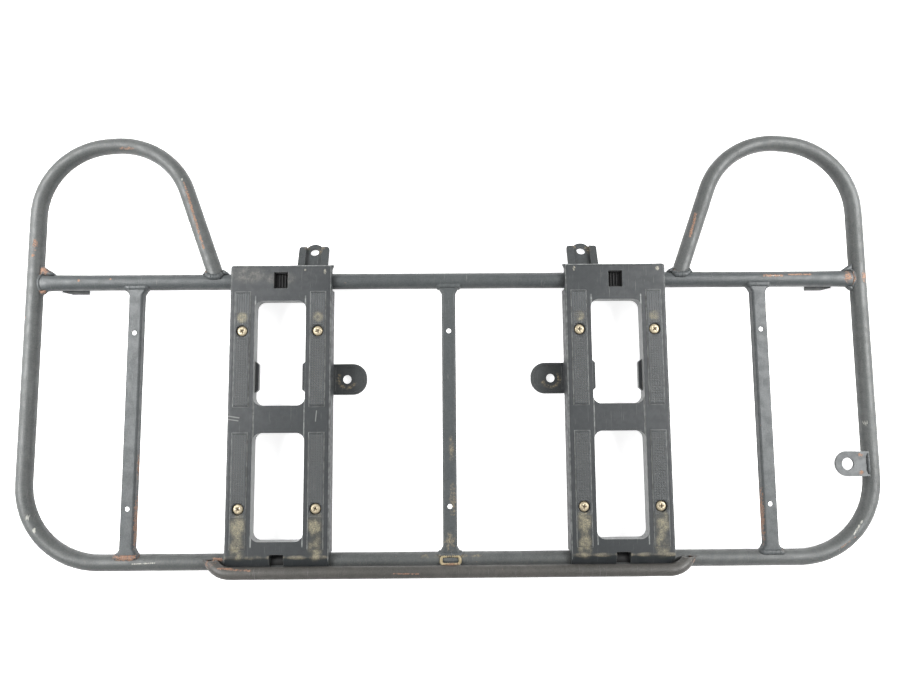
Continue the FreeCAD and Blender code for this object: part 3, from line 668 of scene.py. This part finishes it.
def corner_web(joined, corner, along_a, along_b, thickness, height):
    """Piles weld into the corner between two tubes: nested arcs from one wall to the other.

    along_a and along_b reach from the corner along the two walls. Lengths are in millimetres."""
    first, second = Vector(along_a), Vector(along_b)
    centre = Vector(corner)
    for share in WEB_ARCS:
        start = centre + first * share
        end = centre + second * share
        inner = centre + (first + second) * share * WEB_HOLLOW
        arc = []
        for i in range(13):
            t = i / 12
            arc.append(start * (1 - t) ** 2 + inner * (2 * t * (1 - t)) + end * t ** 2)
        for z in (-height, 0.0, height):
            layer = [p + Vector((0, 0, z)) for p in arc]
            weld_seam(joined, layer, thickness, False)


def bar_end_seam(x, tube_y, towards, half_w, top_z):
    """Over the end of a channel bar where it meets a tube: down both flanges and across the top."""
    points = []
    low_z = top_z - 9.5
    for i in range(9):
        z = low_z + (top_z - 1.2 - low_z) * i / 8
        y = math.sqrt(max(TUBE_R_MM ** 2 - z * z, 0.0))
        points.append(Vector((x - half_w, tube_y + towards * y, z)))
    y_top = math.sqrt(TUBE_R_MM ** 2 - top_z ** 2) + BAR_SEAM_BACK
    for i in range(7):
        share = -1 + 2 * i / 6
        points.append(Vector((x + share * (half_w - 1.5), tube_y + towards * y_top, top_z)))
    right = [Vector((2 * x - p.x, p.y, p.z)) for p in reversed(points[:9])]
    return points + right


def box_mm(name):
    """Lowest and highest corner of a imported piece, in millimetres on the rack."""
    low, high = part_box(name)
    return on_rack(low), on_rack(high)


def make_seams(finish):
    """Every weld seam of the steel frame, as one piece for each kind of joint."""
    leg_lean = math.atan2(LEG_FOOT_INSET - LEG_TOP_INSET, LEG_RUN)
    foot_x = SIDE_X - LEG_FOOT_INSET
    tubes = bmesh.new()
    for side in (-1, 1):
        weld_seam(tubes, flare_seam(side), 2.4)
        weld_seam(tubes, foot_seam(side, foot_x, leg_lean), lambda here: 2.4 + max(0.0, here.z) * 0.16)
        wall_x = side * (SIDE_X - TUBE_R_MM)
        big = 1.0 if side < 0 else 0.7
        corner_web(tubes, (wall_x + side, CROSS_Y + 10.5, 2.0), (0.0, 11.0 * big, 0.0),
                   (-side * 17.0 * big, -1.0, 0.0), 2.9 * big, 2.2)
        corner_web(
            tubes, (wall_x + side, CROSS_Y - 10.5, 1.0), (0.0, -5.0, 0.0), (-side * 7.0, 0.5, 0.0), 2.2,
            2.0)
        foot_y = CROSS_Y + TUBE_R_MM - 0.5
        outer_x = side * (foot_x + TUBE_R_MM + 2.4)
        inner_x = side * (foot_x - TUBE_R_MM + 1.4)
        corner_web(
            tubes, (outer_x, foot_y, 1.5), (side * 1.5, 6.5, 0.0), (side * 6.0, 0.0, 0.0), 2.0, 2.2)
        corner_web(
            tubes, (inner_x, foot_y, 1.5), (side * 2.0, 6.0, 0.0), (-side * 6.0, 0.0, 0.0), 2.0, 2.2)
    finished_piece("tube_weld_seams", tubes, finish["seam"])
    bars = bmesh.new()
    names = ["left_outer_bar", "right_outer_bar", "centre_bar", "left_cover_outer_bar",
             "right_cover_outer_bar", "left_cover_inner_bar", "right_cover_inner_bar"]
    for name in names:
        low, high = box_mm(name)
        x = (low.x + high.x) / 2
        half_w = (high.x - low.x) / 2
        for tube_y, towards in ((0.0, 1), (CROSS_Y, -1)):
            weld_seam(bars, bar_end_seam(x, tube_y, towards, half_w, high.z - 0.4), 3.1, False, 0.62)
    ring = []
    for x, y in STAY_RING:
        top_z = math.sqrt(TUBE_R_MM ** 2 - y * y)
        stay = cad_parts["stop_bar_stay"]
        hit, place, _, _ = stay.ray_cast(at(x, y, ABOVE_ALL), Vector((0, 0, -1)))
        if hit:
            top_z = max(top_z, on_rack(place).z)
        ring.append(Vector((x, y, top_z + STAY_RING_LIFT)))
    stay_ring = bmesh.new()
    weld_seam(stay_ring, ring, 1.7)
    finished_piece("stay_weld_ring", stay_ring, finish["stay_ring"])
    tab_low, tab_high = box_mm("right_side_tab")
    end_x = tab_high.x - 1.6
    tab_line = [
        Vector((end_x, tab_low.y + 2.0, tab_high.z)), Vector((end_x, tab_high.y - 2.0, tab_high.z))]
    weld_seam(bars, tab_line, 2.1, False)
    for flank_y in (tab_low.y, tab_high.y):
        flank = [Vector((end_x, flank_y, tab_high.z - 1.0)),
                 Vector((SIDE_X - TUBE_R_MM, flank_y, tab_high.z - 3.0))]
        weld_seam(bars, flank, 1.5, False)
    finished_piece("bar_weld_seams", bars, finish["bar_seam"])


def knurled_sheet(joined, middle_x, low_y, high_y, top_z, rows, columns, screw_y):
    """Adds a field of raised squares to a bmesh. Its border sinks into the strip."""
    sheet = bmesh.new()
    half_w = KNURL_ROWS * KNURL_PITCH / 2
    centre = at(middle_x, (low_y + high_y) / 2, top_z + KNURL_LIFT)
    size = Matrix.Diagonal((half_w * MM, (high_y - low_y) / 2 * MM, 1, 1))
    bmesh.ops.create_grid(sheet, x_segments=rows, y_segments=columns, size=1.0,
                          matrix=Matrix.Translation(centre) @ size)
    screw = at(middle_x, screw_y, top_z)
    hidden = [f for f in sheet.faces if (f.calc_center_median() - screw).length < SCREW_CLEARANCE * MM]
    bmesh.ops.delete(sheet, geom=hidden, context="FACES")
    bmesh.ops.solidify(sheet, geom=sheet.faces[:], thickness=KNURL_SKIRT * MM)
    bmesh.ops.translate(
        sheet, verts=sheet.verts, vec=(0, 0, centre.z - max(v.co.z for v in sheet.verts)))
    bmesh.ops.recalc_face_normals(sheet, faces=sheet.faces)
    lowest = centre.z - KNURL_LIFT * MM
    squares = [f for f in sheet.faces if f.normal.z > 0.9 and f.calc_center_median().z > lowest]
    bmesh.ops.inset_individual(sheet, faces=squares, thickness=KNURL_INSET * MM, depth=0.0)
    for face in squares:
        bmesh.ops.translate(sheet, verts=face.verts, vec=(0, 0, KNURL_HEIGHT * MM * worn_height(face)))
    join(joined, sheet)


def worn_height(face):
    """How much of a square's height is left, in patches."""
    place = on_rack(face.calc_center_median())
    return 0.9 + 0.1 * noise.noise(place * 0.08)


def make_knurling(side_name, finish):
    """The knurled squares and end grooves on the four raised strips of one cover."""
    low, high = box_mm(side_name + "_cover_screws")
    top_z = box_mm(side_name + "_cover")[1].z
    rows_y = (low.y + SCREW_HEAD_R, high.y - SCREW_HEAD_R)
    knurl = bmesh.new()
    for x in (low.x + SCREW_HEAD_R, high.x - SCREW_HEAD_R):
        rear_low, rear_high = STRIP_REAR[0], STRIP_REAR[1] - STRIP_MARGIN
        count = round((rear_high - rear_low) / KNURL_PITCH)
        knurled_sheet(knurl, x, rear_low, rear_high, top_z, KNURL_ROWS, count, rows_y[0])
        front_low = STRIP_FRONT[0] + STRIP_MARGIN
        front_high = STRIP_FRONT[1] - GROOVED_END
        count = round((front_high - front_low) / KNURL_PITCH)
        knurled_sheet(knurl, x, front_low, front_high, top_z, KNURL_ROWS, count, rows_y[1])
        knurled_sheet(
            knurl, x, front_high, STRIP_FRONT[1] - STRIP_MARGIN, top_z, KNURL_ROWS, 1, rows_y[1])
    return finished_piece(side_name + "_cover_knurling", knurl, finish["knurl"], False)


def make_sockets(side_name, finish):
    """The deep square socket in a cover's web and the clip over the rail in its rear notch, both near
    black: painted shade. The socket's floor plate gives the hole a dark bottom.
    """
    low, high = box_mm(side_name + "_cover")
    middle_x = (low.x + high.x) / 2
    sockets = bmesh.new()
    wide = SOCKET_HALF + SOCKET_WALL - SOCKET_LAP
    for y_low, y_high, z_low in (
            (SOCKET_Y + SOCKET_HALF - SOCKET_LAP, SOCKET_Y + wide, SOCKET_FRONT_LOW),
            (SOCKET_Y - wide, SOCKET_Y - SOCKET_HALF + SOCKET_LAP, SOCKET_LOW)):
        add_plate(sockets, (middle_x - wide, y_low, z_low), (middle_x + wide, y_high, SOCKET_TOP))
    inner = SOCKET_HALF - SOCKET_SIDE_LAP
    for share in (-1, 1):
        x = middle_x + share * (inner + SOCKET_WALL / 2)
        add_plate(sockets, (x - SOCKET_WALL / 2, SOCKET_Y - inner, SOCKET_LOW),
                  (x + SOCKET_WALL / 2, SOCKET_Y + inner, SOCKET_TOP))
    for i in range(SOCKET_RIBS):
        x = middle_x + (i - SOCKET_RIBS // 2) * inner * RIB_SPACING
        add_plate(sockets, (x - RIB_HALF, SOCKET_Y - inner, SOCKET_LOW),
                  (x + RIB_HALF, SOCKET_Y + inner, RIB_TOP))
    floor_low, floor_high = SOCKET_FLOOR
    add_plate(sockets, (middle_x - inner, SOCKET_Y - inner, floor_low),
              (middle_x + inner, SOCKET_Y + inner, floor_high))
    clip = bmesh.new()
    turn = Matrix.Rotation(math.radians(90), 4, "Y")
    start = Matrix.Translation(at(middle_x - NOTCH_HALF_W + CLIP_SIDE_GAP, 0, 0)) @ turn
    ring = bmesh.ops.create_circle(clip, cap_ends=False, radius=(TUBE_R_MM + CLIP_CLEARANCE) * MM,
                                   segments=64, matrix=start)
    unseen = []
    for vertex in ring["verts"]:
        place = on_rack(vertex.co)
        if not CLIP_Y[0] < place.y < CLIP_Y[1] or place.z < CLIP_LOW:
            unseen.append(vertex)
    bmesh.ops.delete(clip, geom=unseen, context="VERTS")
    drawn = bmesh.ops.extrude_edge_only(clip, edges=clip.edges[:])
    moved = [v for v in drawn["geom"] if isinstance(v, bmesh.types.BMVert)]
    bmesh.ops.translate(clip, verts=moved, vec=(2 * (NOTCH_HALF_W - CLIP_SIDE_GAP) * MM, 0, 0))
    bmesh.ops.recalc_face_normals(clip, faces=clip.faces)
    bmesh.ops.solidify(clip, geom=clip.faces[:], thickness=-CLIP_THICKNESS * MM)
    join(sockets, clip)
    return finished_piece(
        side_name + "_cover_sockets", sockets, finish["painted_shade_plastic"], False)


def add_plate(joined, low, high):
    """A plate between two corners, with softened edges. Lengths are in millimetres on the rack."""
    plate = bmesh.new()
    first, second = at(*low), at(*high)
    made = bmesh.ops.create_cube(plate, size=1.0)
    bmesh.ops.scale(plate, verts=made["verts"], vec=second - first)
    bmesh.ops.translate(plate, verts=made["verts"], vec=(first + second) / 2)
    bmesh.ops.bevel(
        plate, geom=plate.edges[:], offset=PLATE_EDGE * MM, segments=2, affect="EDGES", profile=0.5,
        material=-1)
    join(joined, plate)


def join(joined, other):
    """Adds one bmesh to another and frees it."""
    held = bpy.data.meshes.new("held")
    other.to_mesh(held)
    other.free()
    joined.from_mesh(held)
    bpy.data.meshes.remove(held)


def cross_outline(angle, arm, half_w):
    """Distance from the middle to the edge of a plus sign, in one direction."""
    along = max(abs(math.cos(angle)), abs(math.sin(angle)))
    across = min(abs(math.cos(angle)), abs(math.sin(angle)))
    to_end = arm / along
    to_flank = half_w / across if across > 1e-6 else to_end
    to_corner = half_w / along
    return min(to_end, max(to_flank, to_corner))


def screw_shape(length):
    """A domed head with a cross recess on a threaded shank, in millimetres, head seat at z 0."""
    root_r = SCREW_SHANK_R - THREAD_DEPTH
    profile = [(root_r, -length)]
    for i in range(int((length - THREAD_PITCH) / THREAD_PITCH)):
        profile.append((SCREW_SHANK_R, (i + 0.5) * THREAD_PITCH - length))
        profile.append((root_r, (i + 1) * THREAD_PITCH - length))
    profile += [(SCREW_SHANK_R, 0.0), (SCREW_HEAD_R - SCREW_EDGE, 0.0), (SCREW_HEAD_R, SCREW_EDGE),
                (SCREW_HEAD_R, SCREW_RIM_H)]
    inner_r = CROSS_ARM + SCREW_EDGE
    for share in (0.25, 0.5, 0.75, 1.0):
        angle = share * SCREW_DOME_TURN
        profile.append((inner_r + (SCREW_HEAD_R - inner_r) * math.cos(angle),
                        SCREW_RIM_H + (SCREW_HEAD_H - SCREW_RIM_H) * math.sin(angle)))
    profile += [(CROSS_ARM, z) for z, _, _ in CROSS_LEVELS]
    screw = bmesh.new()
    line = [screw.verts.new((r, 0.0, z)) for r, z in profile]
    edges = [screw.edges.new(pair) for pair in zip(line, line[1:])]
    bmesh.ops.spin(screw, geom=line + edges, cent=(0, 0, 0), axis=(0, 0, 1), dvec=(0, 0, 0),
                   angle=2 * math.pi, steps=SCREW_SEGMENTS, use_merge=True)
    for level_z, arm, half_w in CROSS_LEVELS:
        for vertex in screw.verts:
            if abs(vertex.co.z - level_z) < 1e-4:
                turn = math.atan2(vertex.co.y, vertex.co.x)
                reach = cross_outline(turn, arm, half_w)
                vertex.co = Vector((math.cos(turn) * reach, math.sin(turn) * reach, level_z))
    bmesh.ops.holes_fill(screw, edges=[e for e in screw.edges if e.is_boundary], sides=SCREW_SEGMENTS)
    bmesh.ops.recalc_face_normals(screw, faces=screw.faces)
    return screw


def make_screws(side_name, finish):
    """Four screws of one cover, each turned a little differently, in place of the plain ones."""
    low, high = box_mm(side_name + "_cover_screws")
    seat_z = high.z - SCREW_HEAD_H
    screws = bmesh.new()
    for x in (low.x + SCREW_HEAD_R, high.x - SCREW_HEAD_R):
        for y in (low.y + SCREW_HEAD_R, high.y - SCREW_HEAD_R):
            screw = screw_shape(seat_z - low.z)
            turn = Matrix.Rotation(noise.noise(Vector((x, y, 0)) * 0.37) * math.pi, 4, "Z")
            bmesh.ops.transform(screw, verts=screw.verts, matrix=turn)
            bmesh.ops.scale(screw, verts=screw.verts, vec=(MM, MM, MM))
            bmesh.ops.translate(screw, verts=screw.verts, vec=at(x, y, seat_z))
            join(screws, screw)
    piece = finished_piece(side_name + "_cross_recess_screws", screws, finish["zinc"])
    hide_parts(side_name + "_cover_screws")


def make_finishes():
    """The finishes of the rack, with the rust and wear that each piece shows."""
    grey = ("#3b3f41", "#464a4b", "#323637", "#5c6060")
    sand = ("#9a8c6c", "#b3a47f", "#6f634d", "#c9bb96")
    warm_grey = ("#3f3e3b", "#4a4845", "#353432", "#5f5c56")
    tube_grey = ("#454848", "#535656", "#3b3e3e", "#696a66")
    dark = ("#2c3032", "#373b3d", "#232728", "#4a4a47")
    hoop_rust = [
        ((-498.0, 376.0, 8.0), (3.6, 11.0, 6.0)),
        ((-499.5, 363.0, 8.0), (3.0, 5.0, 6.0)),
        ((-505.0, 288.0, 7.0), (2.2, 3.0, 4.0)),
        ((-393.0, 496.0, 8.0), (12.0, 2.6, 5.0)),
        ((503.0, 331.0, 8.5), (5.0, 9.5, 6.0)),
        ((-374.0, 6.0, 8.0), (15.0, 4.0, 6.0)),
        ((-269.0, 4.0, 9.0), (10.0, 4.0, 7.0)),
        ((-318.5, 444.0, 8.0), (-295.0, 370.6, 8.0), 2.2),
        ((-321.5, 452.0, 8.0), (-318.5, 444.0, 8.0), 1.4),
        ((303.0, 411.0, 8.0), (294.0, 382.0, 8.0), 2.2),
        ((448.0, 8.0, 6.0), (472.0, 24.0, 6.0), 1.4),
    ]
    chips = [
        ((-324.2, 455.8, 8.0), (2.2, 2.4, 4.0)),
        ((457.0, 470.0, 8.0), (3.0, 3.0, 5.0)),
        ((493.0, 155.0, 8.0), (3.4, 5.0, 6.0)),
        ((-488.8, 53.5, 8.0), (3.2, 5.2, 5.0)),
        ((-480.8, 38.1, 8.0), (3.4, 4.6, 5.0)),
        ((-366.0, 0.2, 9.0), (-340.0, 1.2, 9.0), 1.0),
        ((470.0, 27.0, 7.0), (481.0, 42.0, 7.0), 1.4),
    ]
    tan_rail = streak((-29.0, 6.0, 8.0), (30.0, 6.0, 8.0), 5, (8.0, 3.4, 5.0))
    cross_rust = [
        ((-443.0, 331.5, 9.0), (2.4, 2.2, 4.0)),
        ((-405.0, 333.0, 9.0), (2.2, 1.8, 4.0)),
        ((484.0, 331.0, 8.0), (7.0, 11.0, 7.0)),
        ((-487.0, 345.0, 5.0), (9.0, 7.0, 7.0)),
        ((382.0, 332.5, 9.0), (403.0, 332.8, 9.0), 2.6),
        ((412.0, 334.0, 9.0), (438.0, 334.0, 9.0), 1.6),
    ]
    cross_chips = [((385.0, 332.5, 9.0), (400.0, 332.8, 9.0), 1.1)]
    bar_rust = [
        ((-366.5, 45.0, 2.0), (2.2, 44.0, 9.0)),
        ((-366.5, 110.0, 1.0), (1.4, 22.0, 6.0)),
        ((366.3, 50.0, 2.0), (2.6, 50.0, 10.0)),
        ((383.0, 37.0, 2.0), (2.4, 4.0, 6.0)),
        ((383.0, 18.0, 2.0), (2.2, 9.0, 6.0)),
        ((-383.0, 26.0, 4.0), (1.8, 12.0, 6.0)),
    ]
    bar_chips = [((-383.0, 96.0, 8.0), (1.6, 16.0, 3.0)), ((382.5, 290.0, 7.5), (1.4, 14.0, 4.0))]
    centre_tan = [((3.5, 70.0, 8.2), (6.0, 26.0, 4.0)), ((0.0, 22.0, 8.2), (9.0, 14.0, 5.0)),
                  ((2.0, 130.0, 8.2), (5.0, 20.0, 3.0))]
    stop_rust = [
        ((-272.0, 1.0, 14.0), (12.0, 8.0, 12.0)),
        ((276.0, 0.0, 13.0), (9.0, 7.0, 11.0)),
        ((-262.0, -2.0, 24.0), (-226.0, -4.5, 26.5), 1.6),
        ((-64.0, -8.7, 29.0), (-36.0, -9.2, 29.0), 1.1),
    ]
    seam_rust = [
        ((-487.0, 345.0, 5.0), (12.0, 9.0, 9.0)),
        ((-487.0, 318.0, 4.0), (7.0, 5.0, 7.0)),
        ((489.0, 330.0, 7.0), (7.0, 12.0, 7.0)),
        ((279.0, 342.0, 7.0), (8.0, 5.0, 8.0)),
        ((-291.0, 343.0, 7.0), (5.0, 4.0, 6.0)),
    ]
    bar_seam_rust = [((-374.8, 6.5, 8.0), (22.0, 9.0, 14.0)), ((386.0, 8.0, 3.0), (5.0, 5.0, 8.0))]
    stay_rust = [((-7.0, -2.0, 13.4), (8.0, -2.0, 13.4), 3.0)]
    stay_sand = [((0.0, 1.5, 9.0), (26.0, 14.0, 20.0))]
    tab_rust = [((484.5, 118.5, 8.0), (4.0, 3.4, 4.0)), ((484.0, 97.5, 8.0), (4.4, 3.6, 4.0))]
    side_tan = []
    front_tan = []
    for side in (-1, 1):
        for degrees in range(150, 331, 20):
            turn = math.radians(degrees)
            x = side * (124.5 - 10.5 * math.cos(turn))
            side_tan.append(((x, 212.0 + 10.5 * math.sin(turn), -18.0), (4.2, 3.4, 4.0)))
        front_tan.append(((side * 166.0 + 9.0, 374.0, -18.0), (6.0, 12.0, 9.0)))
        front_tan.append(((side * 166.0 - 9.0, 377.0, -16.0), (5.0, 6.0, 9.0)))
    return {
        "outer_frame_tube": weathered_enamel(
            "chalked_enamel_on_bent_tube", tube_grey, hoop_rust, chips, tan_rail),
        "cross_tube": weathered_enamel("chalked_enamel_on_cross_tube", grey, cross_rust, cross_chips),
        "bars": weathered_enamel("chalked_enamel_on_pressed_bars", grey, bar_rust, bar_chips),
        "centre_bar": weathered_enamel("dusty_enamel_on_centre_bar", grey, (), (), centre_tan),
        "rear_stop_bar": weathered_enamel("rubbed_enamel_on_rear_bar", warm_grey, stop_rust),
        "seam": weathered_enamel("enamelled_weld_seams", grey, seam_rust),
        "bar_seam": weathered_enamel("enamelled_bar_seams", grey, bar_seam_rust, (), tan_rail),
        "stay_ring": weathered_enamel("sandy_weld_ring", sand, stay_rust, (), stay_sand),
        "side_brackets": weathered_enamel("dark_enamel_on_side_brackets", dark, (), (), side_tan),
        "front_brackets": weathered_enamel("dark_enamel_on_front_brackets", dark, (), (), front_tan),
        "side_tab": weathered_enamel("enamel_on_eye_with_rusty_corners", grey, tab_rust),
        "plastic": moulded_cover_plastic("faded_moulded_polypropylene"),
        "knurl": moulded_cover_plastic("knurled_polypropylene_with_painted_groove_shade", True),
        "painted_shade_plastic": near_black_shade_plastic("near_black_polypropylene_painted_shade"),
        "zinc": yellow_zinc("yellow_zinc_plated_steel"),}


def dress_solids(finish):
    """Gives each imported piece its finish."""
    plain = {
        "outer_frame_tube": "outer_frame_tube",
        "cross_tube": "cross_tube",
        "centre_bar": "centre_bar",
        "stop_bar_stay": "bar_seam",
        "rear_stop_bar": "rear_stop_bar",
        "right_side_tab": "side_tab",
    }
    for side in ("left_", "right_"):
        for bar in ("outer_bar", "cover_outer_bar", "cover_inner_bar"):
            plain[side + bar] = "bars"
        plain[side + "cover"] = "plastic"
        plain[side + "cover_screws"] = "zinc"
        plain[side + "cover_nuts"] = "zinc"
        plain[side + "front_bracket"] = "front_brackets"
        plain[side + "side_bracket"] = "side_brackets"
        plain[side + "stay_tab"] = "front_brackets"
    for name, kind in plain.items():
        give(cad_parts[name], finish[kind])


def seen_rays(tree):
    """1 for what the camera, gloss and glass see, and 0 for the light on the object."""
    straight, gloss, glass = (
        node(
            tree, "LightPath",
            result="Is " + kind + " Ray") for kind in ("Camera", "Glossy", "Transmission"))
    return node(tree, "Math.MAXIMUM", node(tree, "Math.MAXIMUM", straight, gloss), glass)


def make_floor():
    """A white floor that fades into the white surroundings and keeps a faint shadow."""
    floor_mesh = bmesh.new()
    bmesh.ops.create_grid(floor_mesh, x_segments=1, y_segments=1, size=6.0)
    mesh = bpy.data.meshes.new("floor")
    floor_mesh.to_mesh(mesh)
    floor_mesh.free()
    floor = bpy.data.objects.new("floor", mesh)
    bpy.context.scene.collection.objects.link(floor)
    material = bpy.data.materials.new("white_paper_floor")
    material.use_nodes = True
    tree = material.node_tree
    tree.nodes.clear()
    glow = node(tree, "Math.MULTIPLY", seen_rays(tree), FLOOR_GLOW)
    paper = node(
        tree, "AddShader", node(tree, "BsdfDiffuse", "#f2f2f2"),
        node(tree, "Emission", "#ffffff", glow))
    node(tree, "OutputMaterial", paper)
    give(floor, material)


def make_light():
    """Bright walls all round and a darker ceiling above the camera, with two soft lamps."""
    world = bpy.data.worlds.new("bright_room")
    world.use_nodes = True
    bpy.context.scene.world = world
    tree = world.node_tree
    tree.nodes.clear()
    direction = node(tree, "TexCoord", result="Generated")
    ceiling = node(
        tree, "MapRange.SMOOTHSTEP", node(tree, "SeparateXYZ", direction, result="Z"), 0.8, 0.99, 1.0,
        SKY_CEILING)
    rear = node(
        tree, "MapRange.SMOOTHSTEP", node(tree, "SeparateXYZ", direction, result="Y"), -0.7, 0.2,
        SKY_REAR, 1.0)
    strength = node(tree, "Math.MULTIPLY", node(tree, "Math.MULTIPLY", ceiling, rear), SKY_BRIGHT)
    room = node(tree, "Background", "#ffffff", strength)
    white = node(tree, "Background", "#ffffff", 1.0)
    node(tree, "OutputWorld", node(tree, "MixShader", seen_rays(tree), room, white))
    for side in (-1, 1):
        lamp = bpy.data.lights.new("side_lamp", "AREA")
        lamp.shape = "RECTANGLE"
        lamp.size, lamp.size_y = LAMP_SIZE
        lamp.energy = LAMP_WATTS[side]
        lamp.spread = math.radians(LAMP_SPREAD)
        holder = bpy.data.objects.new("side_lamp", lamp)
        place = Vector((side * LAMP_PLACE[0], LAMP_PLACE[1], LAMP_PLACE[2]))
        holder.location = place
        aim = Vector((side * LAMP_AIM_X, 0.1, 0.0)) - place
        holder.rotation_euler = aim.to_track_quat("-Z", "Y").to_euler()
        bpy.context.scene.collection.objects.link(holder)


def make_camera():
    """The camera above the rack, a little towards the seat, as the photograph was taken."""
    camera = bpy.data.cameras.new("camera")
    camera.lens = LENS_MM
    camera.sensor_width = SENSOR_MM
    camera.clip_start = 0.05
    camera.clip_end = 50.0
    holder = bpy.data.objects.new("camera", camera)
    turn = Matrix.Identity(4)
    for degrees, axis in zip(CAMERA_TURN, "XYZ"):
        turn = turn @ Matrix.Rotation(math.radians(degrees), 4, axis)
    holder.matrix_world = Matrix.Translation(at(*CAMERA_PLACE)) @ turn
    bpy.context.scene.collection.objects.link(holder)
    bpy.context.scene.camera = holder


def main():
    """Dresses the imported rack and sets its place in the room."""
    make_camera()
    bpy.context.scene.view_settings.view_transform = "Standard"
    finish = make_finishes()
    dress_solids(finish)
    make_seams(finish)
    for side_name in ("left", "right"):
        make_knurling(side_name, finish)
        make_screws(side_name, finish)
        make_sockets(side_name, finish)
    make_light()
    make_floor()


main()
